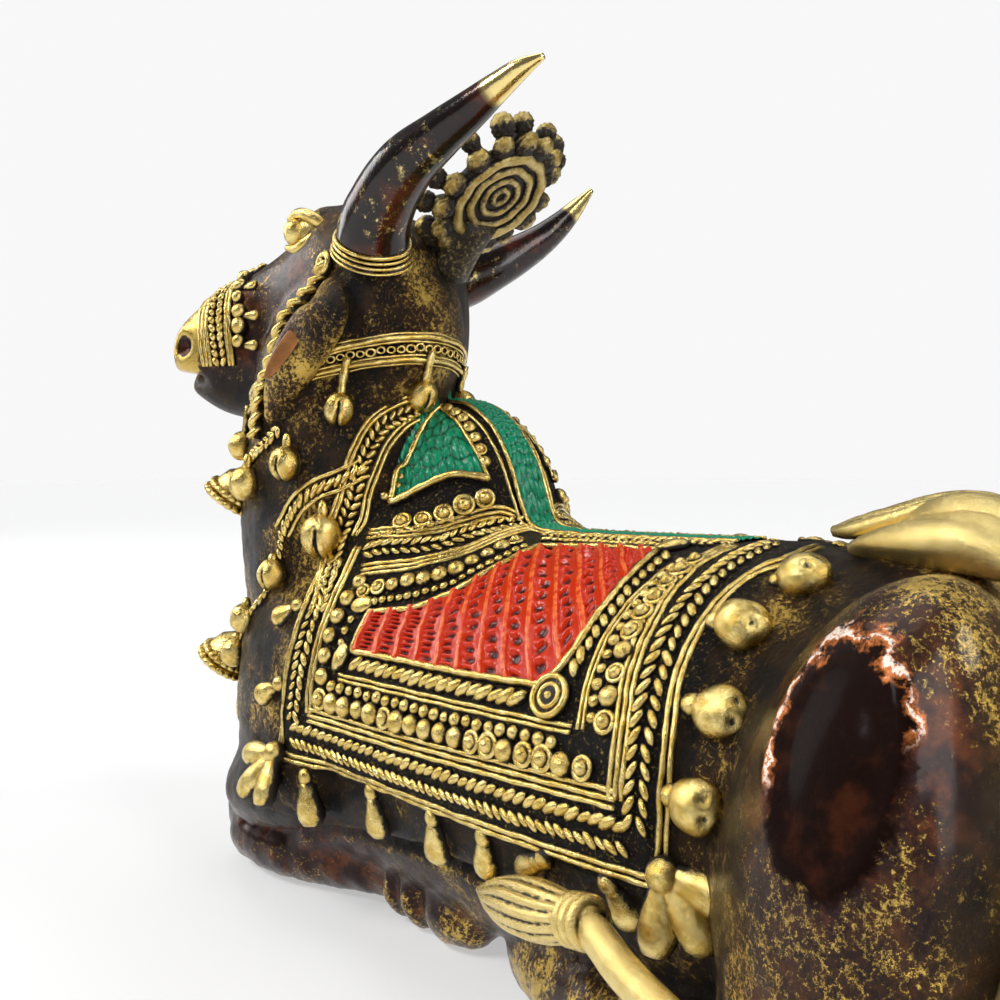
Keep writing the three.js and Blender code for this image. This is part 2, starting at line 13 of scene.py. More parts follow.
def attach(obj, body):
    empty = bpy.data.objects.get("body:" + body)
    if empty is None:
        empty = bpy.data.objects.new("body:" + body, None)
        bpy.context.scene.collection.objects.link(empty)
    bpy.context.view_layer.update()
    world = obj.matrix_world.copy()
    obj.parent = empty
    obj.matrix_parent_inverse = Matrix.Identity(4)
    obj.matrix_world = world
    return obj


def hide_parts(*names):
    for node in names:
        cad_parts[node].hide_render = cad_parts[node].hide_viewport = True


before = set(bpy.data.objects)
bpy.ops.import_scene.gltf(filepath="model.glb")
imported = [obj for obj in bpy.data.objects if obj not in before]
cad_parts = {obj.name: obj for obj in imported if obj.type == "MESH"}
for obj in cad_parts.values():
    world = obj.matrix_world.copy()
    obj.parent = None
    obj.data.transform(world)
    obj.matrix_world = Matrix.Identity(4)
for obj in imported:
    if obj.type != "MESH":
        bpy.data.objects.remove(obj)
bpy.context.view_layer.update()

NODE = "nandi_bull"
MM = 0.001
SHIFT_LEFT = -2.04  # from the bull's own zero to the frame's
SHIFT_BACK = -4.253
SIDES = (1, -1)  # the bull's left and right
LEFT = np.array([0, 1.0, 0])
UP = np.array([0, 0, 1.0])

AXIS_HEIGHT = 33.0
CLOTH_FRONT = 29.5
CLOTH_REAR = -54.0
CLOTH_HEM = 97.0  # degrees from straight up
CLOTH_LIFT = 1.0
DEGREES_PER_MM = 1.6
CHART_SCALE = 0.6  # millimetres that a degree counts for along a line of the cloth
LINE_STEP = 0.7
HEAD_TURN = math.radians(27)
POLL = np.array([34.0, 3.0, 0])  # on the floor below it, where the head's own directions start
CREST_CENTRE = (14.1, 0.2, 130.4)
CREST_TILT = math.radians(50)
CREST_TURN = math.radians(10)
CREST_PETALS = 15
RIDGE_COUNT = 14
BODY_VOXEL = 0.9
HEAD_VOXEL = 0.6

random.seed(7)


# Numbers and directions

def unit(v):
    v = np.asarray(v, float)
    return v / np.maximum(np.linalg.norm(v, axis=-1, keepdims=True), 1e-9)


def step(x, low, high):
    t = np.clip((np.asarray(x, float) - low) / (high - low), 0, 1)
    return t * t * (3 - 2 * t)


def near(points, place, radius):
    """1 at a place, falling smoothly to 0 at radius."""
    return 1 - step(np.linalg.norm(points - np.asarray(place, float), axis=1), 0, radius)


def round_angles(count):
    return np.linspace(0, 2 * math.pi, count, endpoint=False)


def mirrored(rows, side):
    """Places, or rows that start with one, on the left as they are and on the right as their like."""
    return [(f, side * left, *rest) for f, left, *rest in rows]


def column_at(rows, key, x, columns):
    """Numbers from columns of rows, where the key column has the value x."""
    rows = np.array(rows, float)
    return [np.interp(x, rows[:, key], rows[:, n]) for n in columns]


def curve(rows, slope, t, x):
    """Rows of numbers at x, on the smooth curve that has these rows and slopes at t."""
    i = np.clip(np.searchsorted(t, x, side="right") - 1, 0, len(t) - 2)
    h = (t[i + 1] - t[i])[:, None]
    s = np.clip((x - t[i])[:, None] / h, 0, 1)
    a = (1 + 2 * s) * (1 - s) ** 2 * rows[i] + s * s * (3 - 2 * s) * rows[i + 1]
    return a + s * (1 - s) ** 2 * h * slope[i] + s * s * (s - 1) * h * slope[i + 1]


def spline(rows, count):
    """Rows of numbers, places first, as count rows evenly spaced along a smooth curve."""
    rows = np.asarray(rows, float)
    gaps = np.linalg.norm(np.diff(rows[:, :3], axis=0), axis=1)
    t = np.concatenate([[0], np.cumsum(gaps)])
    return curve(rows, np.gradient(rows, t, axis=0), t, np.linspace(0, t[-1], count))


# Closed forms, each as (points, faces)

def loft(rings):
    rings = np.asarray(rings, float)
    count, sides = rings.shape[:2]
    points = np.concatenate([rings.reshape(-1, 3), rings[0].mean(0)[None], rings[-1].mean(0)[None]])
    faces = []
    for i in range(count - 1):
        for j in range(sides):
            a, b = i * sides + j, i * sides + (j + 1) % sides
            faces.append((a, b, b + sides, a + sides))
    first, last, end = count * sides, count * sides + 1, (count - 1) * sides
    for j in range(sides):
        faces.append((first, (j + 1) % sides, j))
        faces.append((last, end + j, end + (j + 1) % sides))
    return points, faces


def tube(rows, side, count, sides=20):
    """Rows of forward, left, up, half-width towards side, half-width across it."""
    line = spline([(*row, row[-1]) if len(row) == 4 else row for row in rows], count)
    ahead = unit(np.gradient(line[:, :3], axis=0))
    across = unit(np.cross(ahead, side))
    sideways = np.cross(across, ahead)
    a = round_angles(sides)[None, :, None]
    widths = np.maximum(line[:, 3:5], 0.05)
    rings = line[:, None, :3] + sideways[:, None] * widths[:, None, :1] * np.cos(a)
    return loft(rings + across[:, None] * widths[:, None, 1:] * np.sin(a))


def lathe(profile, sides):
    """A form turned about z from (radius, height) pairs, the first and last on the axis."""
    rings = [[(r * math.cos(a), r * math.sin(a), z) for a in round_angles(sides)] for r, z in profile[1:-1]]
    points, faces = loft(rings)
    points[-2:] = [(0, 0, profile[0][1]), (0, 0, profile[-1][1])]
    return points, faces


def sphere(sides=10, levels=6):
    arc = np.linspace(-math.pi / 2, math.pi / 2, levels + 1)
    return lathe([(math.cos(a), math.sin(a)) for a in arc], sides)


def doughnut(big, small, sides=14, around=6):
    points, faces = [], []
    for i, a in enumerate(round_angles(sides)):
        for j, b in enumerate(round_angles(around)):
            r = big + small * math.cos(b)
            points.append((r * math.cos(a), r * math.sin(a), small * math.sin(b)))
            i2, j2 = (i + 1) % sides, (j + 1) % around
            faces.append((i * around + j, i2 * around + j, i2 * around + j2, i * around + j2))
    return np.array(points), faces


def shaped(form, size, place=(0, 0, 0)):
    """A form stretched by size along its own directions, then moved to place."""
    points, faces = form
    return points * np.array(size) + np.array(place), faces


def swung(form):
    """A form with its own z turned to lie ahead, along the place that it is put at."""
    points, faces = form
    return points[:, [2, 1, 0]] * np.array([1, 1, -1]), faces


class Heap:
    """Small forms gathered into one mesh. rise is 0 in the recesses and 1 on the tops, for the patina."""

    def __init__(self):
        self.points, self.faces, self.rise, self.count = [], [], [], 0

    def add(self, form, rise=1.0):
        points, faces = form
        self.points.append(points)
        self.faces += [tuple(self.count + i for i in face) for face in faces]
        self.rise.append(np.broadcast_to(np.asarray(rise, float), len(points)))
        self.count += len(points)

    def put(self, form, place, size=1.0, rise=None):
        """A form with its z away from the surface, at place = (point, along, across, out)."""
        points, faces = form
        local = points * size
        point, *directions = place
        if rise is None:
            rise = np.clip(local[:, 2] / max(local[:, 2].max(), 1e-6) * 1.25, 0, 1)
        self.add((point + local @ np.array(directions), faces), rise)

    def make(self, name, material, slot="polished_brass"):
        values = {"rise": np.concatenate(self.rise)}
        return shown(name, np.concatenate(self.points), self.faces, material, values)


def to_frame(points):
    f, left, up = np.asarray(points, float).T
    return np.stack([left + SHIFT_LEFT, SHIFT_BACK - f, up], 1) * MM


def linked(name, data):
    """A new object in the scene."""
    thing = bpy.data.objects.new(name, data)
    bpy.context.scene.collection.objects.link(thing)
    return thing


def mesh_of(name, points, faces, material=None):
    mesh = bpy.data.meshes.new(name)
    mesh.from_pydata(np.asarray(points).tolist(), [], [list(face) for face in faces])
    if material:
        mesh.materials.append(material)
    return mesh


def shown(name, points, faces, material, values):
    """A piece of the visible model, riding on the casting's body."""
    mesh = mesh_of(name, to_frame(points), faces, material)
    for key, numbers in values.items():
        layer = mesh.attributes.new(key, "FLOAT", "POINT")
        layer.data.foreach_set("value", np.ascontiguousarray(numbers, dtype=np.float32))
    mesh.shade_smooth()
    piece = linked(name, mesh)
    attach(piece, "root")
    return piece


def side_name(stem, side):
    return stem + ("_left" if side > 0 else "_right")


def fused(parts, voxel):
    """Overlapping closed forms as one skin of even squares."""
    heap = Heap()
    for part in parts:
        heap.add(part)
    mesh = mesh_of("rough", np.concatenate(heap.points), heap.faces)
    rough = linked("rough", mesh)
    remesh = rough.modifiers.new("remesh", "REMESH")
    remesh.mode = "VOXEL"
    remesh.voxel_size = voxel
    done = rough.evaluated_get(bpy.context.evaluated_depsgraph_get()).to_mesh()
    points = np.empty(len(done.vertices) * 3)
    done.vertices.foreach_get("co", points)
    faces = np.array([tuple(face.vertices) for face in done.polygons if len(face.vertices) == 4])
    edges = np.empty(len(done.edges) * 2, int)
    done.edges.foreach_get("vertices", edges)
    rough.to_mesh_clear()
    bpy.data.objects.remove(rough)
    bpy.data.meshes.remove(mesh)
    return points.reshape(-1, 3), faces, edges.reshape(-1, 2)


def relaxed(points, edges, rounds, weight):
    """Points drawn towards their neighbours, by a weight for each."""
    a, b = edges.T
    count = np.bincount(edges.ravel(), minlength=len(points))[:, None]
    for _ in range(rounds):
        total = np.zeros_like(points)
        for axis in range(points.shape[1]):
            total[:, axis] += np.bincount(a, points[b, axis], len(points))
            total[:, axis] += np.bincount(b, points[a, axis], len(points))
        points = points + weight * (total / np.maximum(count, 1) - points)
    return points


def normals_of(points, faces):
    p = points[faces]
    n = np.cross(p[:, 2] - p[:, 0], p[:, 3] - p[:, 1])
    out = np.zeros_like(points)
    for corner in range(4):
        for axis in range(3):
            out[:, axis] += np.bincount(faces[:, corner], n[:, axis], len(points))
    return unit(out)


def bulge(points, edges, normals):
    """How far each point stands out from its neighbours: positive on edges and tops."""
    a, b = edges.T
    away = points[a] - points[b]
    length = np.linalg.norm(away, axis=1)
    total = np.bincount(a, (away * normals[a]).sum(1) / length, len(points))
    total += np.bincount(b, -(away * normals[b]).sum(1) / length, len(points))
    return total / np.bincount(edges.ravel(), minlength=len(points))


# The trunk: sections along the body, swollen by the hump, withers, shoulders and haunches

# Forward, half-width, half-height, height of the middle
SECTIONS = [
    (-95, 2, 2, 40), (-93, 13, 14, 39), (-87, 25, 26, 38), (-76, 34, 32.5, 35.5), (-58, 36.5, 33.5, 33),
    (-30, 36.5, 33.5, 32), (0, 35.5, 33.5, 32), (24, 35, 34.5, 33.5), (42, 34, 36.5, 36.5),
    (55, 28, 32.5, 39.5), (61, 18.5, 24, 41.5), (64, 2, 2, 41.5),
]
HAUNCH = (-83, 28, 27)
HAUNCH_SIZE = (22, 22.5, 41)
HAUNCH_RIM_SIZE = (18, 22.5, 41)  # of the furrow round it, where it is softened
# Middle, half-lengths, half-length behind the middle, softness of the join
MASSES = [
    ((24, 0, 60), (22.5, 17, 30), 21.3, 3.5),
    ((26, 0, 50), (27, 28, 24), 27, 6),
]
MASSES += [((40, side * 18, 32), (22, 17.5, 34), 23, 5) for side in SIDES]
MASSES += [(mirrored([HAUNCH], side)[0], HAUNCH_SIZE, 12, 7) for side in SIDES]
TRUNK_SIDES = 150


def section(f):
    rows = np.array(SECTIONS, float)
    t = rows[:, 0]
    slope = np.zeros_like(rows)
    slope[1:-1] = (rows[2:] - rows[:-2]) / (t[2:] - t[:-2])[:, None]
    slope[0] = (rows[1] - rows[0]) / (t[1] - t[0])
    slope[-1] = (rows[-1] - rows[-2]) / (t[-1] - t[-2])
    return curve(rows, slope, t, f)[:, 1:].T


def reach(f, angle):
    """Distance from the body's axis to its skin, for places along it and angles from straight up."""
    f, angle = np.broadcast_arrays(np.atleast_1d(np.asarray(f, float)), np.atleast_1d(angle))
    width, height, middle = section(f)
    s, c = np.sin(angle), np.cos(angle)
    rise = AXIS_HEIGHT - middle
    qa = (s / width) ** 2 + (c / height) ** 2
    qb = 2 * c * rise / height ** 2
    qc = np.minimum((rise / height) ** 2 - 1, -1e-6)
    r = (-qb + np.sqrt(qb * qb - 4 * qa * qc)) / (2 * qa)
    for m, q, rear, blend in MASSES:
        a = (s / q[1]) ** 2 + (c / q[2]) ** 2
        b = -2 * s * m[1] / q[1] ** 2 + 2 * c * (AXIS_HEIGHT - m[2]) / q[2] ** 2
        along = np.where(f > m[0], q[0], rear)
        d = (m[1] / q[1]) ** 2 + ((AXIS_HEIGHT - m[2]) / q[2]) ** 2 + ((f - m[0]) / along) ** 2 - 1
        root = b * b - 4 * a * d
        hit = np.where(root > 0, np.maximum((-b + np.sqrt(np.maximum(root, 0))) / (2 * a), 0), 0)
        gap = np.abs(r - hit)
        r = (r + hit + np.sqrt(gap ** 2 + blend ** 2)) / 2 - blend ** 2 / (gap + blend) / 8
    return r


def out_from_axis(f, angle, distance):
    return np.stack([f + 0 * distance, distance * np.sin(angle), AXIS_HEIGHT + distance * np.cos(angle)], -1)


def within_cloth(f, degrees):
    """Millimetres inward from the cloth's edge."""
    flank = (CLOTH_HEM - np.abs(degrees)) / DEGREES_PER_MM
    return np.minimum(np.minimum(CLOTH_FRONT - f, f - CLOTH_REAR), flank)


def on_cloth(points):
    """How far each point is inside the cloth's edge, where it lies on the trunk's own skin."""
    f, left, up = points.T
    angle = np.arctan2(left, up - AXIS_HEIGHT)
    proud = np.hypot(left, up - AXIS_HEIGHT) - reach(f, angle)
    return np.where(proud < 1.9, within_cloth(f, np.degrees(angle)), -9.0)


def trunk():
    stations = np.concatenate([[-94.7, -94.2, -93.4], np.arange(-92.4, 62.5, 1.3), [63.2, 64, 64.6]])
    turns = np.arange(TRUNK_SIDES)
    degrees = np.where(turns > TRUNK_SIDES / 2, turns - TRUNK_SIDES, turns) * 360 / TRUNK_SIDES
    angles = np.radians(degrees)
    rings = []
    for f in stations:
        lift = CLOTH_LIFT * step(within_cloth(f, degrees), -0.4, 0.5)
        rings.append(out_from_axis(f, angles, reach(f, angles) + lift))
    return loft(rings)


# Neck and legs, as rows of forward, left, up and half-widths

NECK = [
    (36, 1, 18, 21, 24), (40, 4, 40, 26, 28), (44.5, 8, 58, 25, 26.5), (45.5, 10.5, 74, 23, 24),
    (45, 11.5, 88, 20.5, 21.5), (43.5, 11, 98, 19.5, 20.5), (39, 9, 108, 17.5, 19), (36, 6, 117, 12, 13),
    (35, 5, 121, 7, 8),
]
FORELEG = [
    [(20, 28, 27, 10, 10), (36, 29, 21, 11.5, 10), (50, 27.5, 16, 9.6, 9), (57, 26, 12, 6, 6.5)],
    [
        (60, 25, 5.6, 4, 4.6), (55.5, 26, 6.2, 7.2, 6.4), (43, 26.5, 6.4, 7.4, 6.8), (30, 23, 6.8, 6.4, 6.6),
        (18, 20.4, 6.8, 5.2, 5.6), (4, 20, 6.8, 5.2, 5.6),
    ],
    [
        (5, 20, 6.8, 4.6, 5), (2.6, 20.2, 6.6, 6.9, 6.9), (-1.5, 20.6, 6.4, 7.3, 6.9), (-5, 20.4, 6, 6, 5.8),
        (-7.4, 20, 6, 2.8, 2.8),
    ],
    [(51, 26.5, 20, 7.2, 8), (54.5, 26.3, 14, 6.8, 7.8), (56.4, 26, 8.6, 6.8, 7.4), (56, 26, 5.2, 6.2, 5.2)],
]
HINDLEG = [
    [
        (-84, 34, 12, 10, 11), (-70, 36, 10, 10, 10), (-55, 34, 8, 8, 8), (-40, 30, 7, 6.5, 7),
        (-33, 27.5, 7, 6, 6.4),
    ],
    [(-33, 27, 7, 6.6, 6.6), (-28, 25, 7, 7.2, 7), (-22, 23.4, 6.6, 6.4, 6.2), (-16.5, 22, 6.5, 4, 4)],
]


def limb(parts, counts, side):
    return [tube(mirrored(rows, side), LEFT, count) for rows, count in zip(parts, counts)]


def foreleg(side):
    """Forearm, cannon, hoof and knee, with two rings of the fetlock over the hoof."""
    forms = limb(FORELEG, (14, 20, 16, 12), side)
    for f, size in ((12.6, 5.9), (7.8, 6.2)):
        points, faces = swung(doughnut(size, 1.9, 36, 10))
        forms.append((points + np.array([f, side * 20, 7.2]), faces))
    return forms


def hindleg(side):
    """Lower thigh and toes."""
    return limb(HINDLEG, (16, 10), side)


# The head, in its own directions: ahead of the poll, to its left, above the floor

AHEAD = np.array([math.cos(HEAD_TURN), math.sin(HEAD_TURN), 0])
ASIDE = np.array([-math.sin(HEAD_TURN), math.cos(HEAD_TURN), 0])
# Ahead, half-width, top, bottom, squareness
HEAD = [
    (-7, 7, 120, 102, 2), (-6, 11.5, 123, 97, 2.1), (-2, 19.5, 127, 91, 2.6), (4, 22, 130, 87, 2.7),
    (12, 18.5, 132.5, 85.5, 2.5), (20, 14.8, 131.5, 85, 2.5), (28, 12, 125.5, 86, 2.2),
    (35, 10.6, 121.5, 88, 2.2), (48, 9.5, 115.5, 91.5, 2.2), (52.4, 9, 112.5, 94.5, 2.1),
    (55, 7.4, 110, 97, 2.1), (56.6, 4.5, 107, 100, 2),
]
HEAD_SIDES = 40


def head_rows(ahead):
    return column_at(HEAD, 0, ahead, (1, 2, 3, 4))


def on_head(ahead, aside, up):
    return POLL + ahead * AHEAD + aside * ASIDE + up * UP


def head_ring(row):
    ahead, half, top, bottom, power = row
    a = round_angles(HEAD_SIDES) + math.pi / HEAD_SIDES
    c, s = np.cos(a), np.sin(a)
    aside = half * np.sign(c) * np.abs(c) ** (2 / power)
    up = (top + bottom) / 2 + (top - bottom) / 2 * np.sign(s) * np.abs(s) ** (2 / power)
    return np.array([on_head(ahead, x, z) for x, z in zip(aside, up)])


def skull():
    rows = np.array(HEAD, float)
    padded = spline(np.column_stack([rows[:, 0], 0 * rows[:, 0], 0 * rows[:, 0], rows[:, 1:]]), 52)
    return loft([head_ring((row[0], *row[3:])) for row in padded])


def on_face(ahead, side, up, lift=0.0):
    half, top, bottom, power = head_rows(ahead)
    v = abs((2 * up - top - bottom) / (top - bottom))
    return on_head(ahead, side * (half * max(0, 1 - v ** power) ** (1 / power) + lift), up)


def on_neck(degrees, height, lift=0.0):
    f, left, half, long = column_at(NECK, 2, height, (0, 1, 3, 4))
    a = math.radians(degrees)
    return np.array([f + (long + lift) * math.cos(a), left + (half + lift) * math.sin(a), height])


def beside(side, degrees, height, lift):
    return on_neck(degrees if side > 0 else 2 * math.degrees(HEAD_TURN) - degrees, height, lift)


def ear(side):
    rows = [
        (*on_face(9, side, 113, 0.5), 1.8, 2.6), (*beside(side, 116, 107, 4), 2.2, 5),
        (*beside(side, 111, 100, 3), 2.2, 5.6), (*beside(side, 103, 93, 1.8), 1.8, 3.8),
        (*beside(side, 96, 87, 0.8), 0.9, 1.2),
    ]
    return tube(rows, ASIDE, 22, 18)


# Building the casting

NOSTRIL = (51.4, 104.4)  # ahead, up
THIGH_MIDDLE = (79.3, 44.5, 51.5)  # back, out, up
THIGH_SIZE = (7.2, 40, 11.5)
KNEE_CREASE = [
    (50, 34, 10.5), (44, 34.2, 10), (36, 33, 11), (23, 31.5, 14), (8.5, 32, 17.2), (-6.4, 34.5, 19.4),
    (-19.5, 35, 20),
]
RUMP_CREASE = [(-90, 0, 63), (-94, 0, 50), (-94.5, 0, 38), (-93, 0, 24)]


def thigh_share(points):
    """Distance from the middle of the flat of the nearer thigh, as a share of its half-lengths."""
    back, out, up = THIGH_MIDDLE
    away = [(points - (-back, side * out, up)) / THIGH_SIZE for side in SIDES]
    return np.min([np.linalg.norm(share, axis=1) for share in away], axis=0)


def lumps(points, scale):
    """Uneven hand-worked surface, from -1 to 1."""
    f, left, up = (points * scale).T
    a = np.sin(f * 1.3 + 1.7 * np.sin(up * 0.9)) + np.sin(left * 1.1 + 1.3 * np.sin(f * 1.2 + 2))
    b = np.sin(up * 1.4 + 1.6 * np.sin(left * 0.8 + 1)) + np.sin((f + left) * 2.3 + np.sin(up * 2.1))
    return (a + b) / 4


def pressed(points, normals, places, depth, width):
    """A groove along a line through places, pressed in along the normals."""
    best = np.min([((points - place) ** 2).sum(1) for place in spline(places, 60)], axis=0)
    return points - normals * (depth * np.exp(-best / width ** 2))[:, None]


def face_cuts(points, normals):
    """Nostrils, brow, cheeks, ear hollows and mouth worked into the head."""
    height = np.zeros(len(points))
    for side in SIDES:
        nostril = on_face(NOSTRIL[0], side, NOSTRIL[1])
        for place, radius, rise in (
            (nostril, 3.2, -2.4), (nostril + 3.4 * UP, 3.4, 0.7), (on_face(20, side, 130.5), 5, 1.0),
            (on_face(26, side, 98), 10, 0.7), (on_face(33, side, 109), 8, -0.8),
            (beside(side, 108, 101, 5.5), 5.5, -1.1),
        ):
            height += rise * near(points, place, radius)
    ahead = (points - POLL) @ AHEAD
    lips = 97.4 - 0.008 * (ahead - 57) ** 2
    height -= 3.8 * np.exp(-(((points[:, 2] - lips) / 1.2) ** 2)) * step(ahead, 44, 51)
    return points + normals * height[:, None]


def body_values(points, edges, faces):
    """Where the patina is worn to gold, where it is red-brown lacquer, and where the ground is dirty, with
    painted shade along the knee creases.
    """
    f, left, up = points.T
    ahead = (points - POLL) @ AHEAD
    thigh = thigh_share(points)
    hollow = bulge(points, edges, normals_of(points, faces))
    out = relaxed(hollow[:, None], edges, 2, 0.5)[:, 0]
    gold = 0.40 + 0.6 * step(out, 0.01, 0.12) - 0.4 * step(out, -0.01, -0.1)
    lacquer = step(thigh, 2.1, 1.2)
    dirt_and_crease_shade = step(on_cloth(points), -1, 0.5)
    for side in SIDES:
        sheen = near(points, (-89, side * 40, 50), 9)
        gold += 0.7 * near(points, (-27, side * 29, 8), 12) + 0.15 * near(points, (-64, side * 42, 30), 18)
        gold -= 0.5 * sheen
        gold -= 2.6 * step(near(points, on_face(NOSTRIL[0], side, NOSTRIL[1]), 3.6), 0.1, 0.6)
        lacquer = np.maximum(lacquer, 0.85 * near(points, (-80, side * 49, 26), 30))
        lacquer = np.maximum(lacquer, 0.8 * sheen)
        # Painted shade: the knee creases are darkened as if shaded by the leg above them
        for place in spline(mirrored(KNEE_CREASE, side), 40):
            dirt_and_crease_shade = np.maximum(dirt_and_crease_shade, near(points, place, 1.8))
    # Legs and face are lacquered
    lacquer = np.maximum(lacquer, step(up, 18, 11) * np.where(f > -12, 1.0, 0.7))
    lacquer = np.maximum(lacquer, step(ahead, 10, 18) * step(up, 94, 101) * 0.9)
    # Thighs, face, front of the flank and neck keep their dark, the poll and the muzzle are rubbed
    gold -= 0.9 * step(thigh, 1.2, 0.9)
    gold += 0.25 * near(points, (30, 14, 108), 22) - 0.16 * step(ahead, 10, 22) * step(up, 90, 98)
    gold -= 0.32 * step(f, -20, -5) * step(up, 30, 12)
    gold -= 0.22 * step(up, 60, 72) * step(up, 106, 96) * step(ahead, 12, 4)
    gold += 1.4 * step(ahead, 45.5, 48) * step(up, 97.5, 99.5)
    return {"gold": np.clip(gold, 0, 2.4), "lacquer": np.clip(lacquer, 0, 1), "dirt_and_crease_shade": np.clip(dirt_and_crease_shade, 0, 1)}


def cast(name, points, faces, edges, patina):
    values = body_values(points, edges, faces)
    return shown(name, points, faces.tolist(), patina, values)


def cast_head(patina):
    parts = [skull(), tube(NECK[3:], LEFT, 26, 44), ear(1), ear(-1)]
    points, faces, edges = fused(parts, HEAD_VOXEL)
    points = relaxed(points, edges, 8, 0.5)
    points = face_cuts(points, normals_of(points, faces))
    points = relaxed(points, edges, 2, 0.4)
    cast("head", points, faces, edges, patina)
    return points, faces


def soft_joins(points, f, thigh):
    """Where neck, hump, haunches and shoulders run into the trunk without an edge, from 0 to 1."""
    joins = np.maximum(near(points, (30, 12, 74), 26), near(points, (24, 0, 84), 20))
    for side in SIDES:
        away = (points - mirrored([HAUNCH], side)[0]) / HAUNCH_RIM_SIZE
        rim = np.abs(np.linalg.norm(away, axis=1) - 1)
        joins = np.maximum(joins, step(rim, 0.4, 0.1) * step(f, -57, -61))
        joins = np.maximum(joins, 0.8 * near(points, (57, side * 30, 26), 16))
    return np.maximum(joins, step(thigh, 2.4, 1.8))


def cast_trunk(patina):
    parts = [trunk(), tube(NECK, LEFT, 44, 44)]
    for side in SIDES:
        parts += foreleg(side) + hindleg(side)
    points, faces, edges = fused(parts, BODY_VOXEL)
    f, left, up = points.T
    inside = on_cloth(points)
    fetlock = (up < 18) & (f > 3) & (f < 16)
    soft = np.where(inside > -0.8, 0.25, 0.5) * np.where(fetlock, 0.3, 1)
    points = relaxed(points, edges, 4, soft[:, None])
    thigh = thigh_share(points)
    joins = 0.7 * step(soft_joins(points, f, thigh), 0, 0.6) * (inside < 0.5)
    points = relaxed(points, edges, 40, joins[:, None])
    normals = normals_of(points, faces)
    rim = np.exp(-(((thigh - 1) / 0.16) ** 2)) * step(up, 38, 50)
    points = points + normals * (0.5 * rim - 0.5 * step(thigh, 1, 0.6))[:, None]
    points = pressed(points, normals, RUMP_CREASE, 2.4, 2.6)
    for side in SIDES:
        points = pressed(points, normals, mirrored(KNEE_CREASE, side), 2.2, 1.15)
    coarse = np.where(inside < 0.3, 0.3, 0) * lumps(points, 0.35) + 0.16 * lumps(points, 0.9)
    points = points + normals * (step(thigh, 1.2, 2.2) * coarse)[:, None]
    points[:, 2] = np.maximum(points[:, 2], 0)
    piece = cast("trunk", points, faces, edges, patina)
    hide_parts(NODE)
    return points, faces


# Lines on the casting's surface

class Line:
    """A line on the surface, whose places have directions: along, across (inner side first) and out."""

    def __init__(self, hits, side, rounds):
        """hits are pairs of a place and an outward direction. rounds says how often each is smoothed."""
        self.points, self.outs = [smoothed(values, count) for values, count in zip(zip(*hits), rounds)]
        gaps = np.linalg.norm(np.diff(self.points, axis=0), axis=1)
        self.t = np.concatenate([[0], np.cumsum(gaps)])
        self.length = self.t[-1]
        self.side = side

    def at(self, distance, offset=0.0, lift=0.0):
        span = min(0.6, self.length / 4)
        p, a, b = [self.mix(self.points, d) for d in (distance, distance - span, distance + span)]
        along = unit(b - a)
        out = unit(self.mix(self.outs, distance))
        across = unit(np.cross(out, along)) * self.side
        return p + across * offset + out * lift, along, across, out

    def mix(self, values, distance):
        return np.array([np.interp(distance, self.t, values[:, n]) for n in range(3)])

    def spread(self, pitch):
        count = max(1, round(self.length / pitch))
        return [self.length * (n + 0.5) / count for n in range(count)]


def smoothed(values, rounds):
    values = np.array(values)
    for _ in range(rounds):
        values[1:-1] = (values[:-2] + 2 * values[1:-1] + values[2:]) / 4
    return values


def nearest(tree, place):
    point, normal, _, _ = tree.find_nearest(Vector(place))
    return np.array(point), np.array(normal)


def struck(tree, start, way, depth, otherwise):
    """Where a ray meets the surface, or else the place on it that is nearest to another."""
    point, normal, _, _ = tree.ray_cast(Vector(start), Vector(way), depth)
    if point is None:
        return nearest(tree, otherwise)
    return np.array(point), np.array(normal)


def cast_at(tree, f, degrees, side=1):
    """The casting's surface at a place along the body and an angle from straight up."""
    a = math.radians(degrees * side)
    axis, way = Vector((f, 0, AXIS_HEIGHT)), Vector((0, math.sin(a), math.cos(a)))
    skin = float(reach(f, a)[0])
    return struck(tree, axis + way * (skin + 4), -way, 12, axis + way * skin)


def evenly(rows):
    """Rows of places as more of them, a step apart."""
    rows = np.array(rows, float)
    length = np.linalg.norm(np.diff(rows, axis=0), axis=1).sum()
    return spline(rows, max(4, int(length / LINE_STEP)))


def chart_line(tree, chart, side=1):
    """A line through (forward, degrees) pairs of the left flank, or the same on the right."""
    rows = evenly([(f, degrees * CHART_SCALE, 0) for f, degrees in chart])
    return Line([cast_at(tree, f, d / CHART_SCALE, side) for f, d, _ in rows], side, (1, 3))


def draped_line(tree, places, side=1):
    """A line through places in space, laid on the nearest surface."""
    return Line([nearest(tree, place) for place in evenly(places)], side, (2, 3))


# Ornament: threads, braids, beads, drops and bells

GRAIN = sphere(8, 6)
BALL = sphere(12, 8)
FINE_BALL = sphere(28, 18)
RING = doughnut(0.74, 0.26)
THREAD_STEP = 0.8
THREAD_SIDES = 6


def thread(heap, line, radius=0.36, offset=0.0, lift=0.05):
    phase = random.uniform(0, 6)
    rings, rise = [], []
    for distance in np.linspace(0, line.length, max(3, int(line.length / THREAD_STEP))):
        sway = 0.05 * math.sin(distance * 0.7 + phase) + 0.02 * math.sin(distance * 2.3 + 2 * phase)
        fat = radius * (1 + 0.09 * math.sin(distance * 1.7 + 3 * phase))
        p, _, across, out = line.at(distance, offset + sway, lift)
        a = round_angles(THREAD_SIDES)[:, None]
        rings.append(p + fat * (across * np.cos(a) + out * np.sin(a)))
        rise.extend(0.35 + 0.65 * np.sin(a[:, 0]))
    heap.add(loft(rings), np.clip([*rise, 0.4, 0.4], 0, 1))


def lines(heap, line, count=2, radius=0.42, gap=0.98):
    for n in range(count):
        thread(heap, line, radius, (n - (count - 1) / 2) * gap)


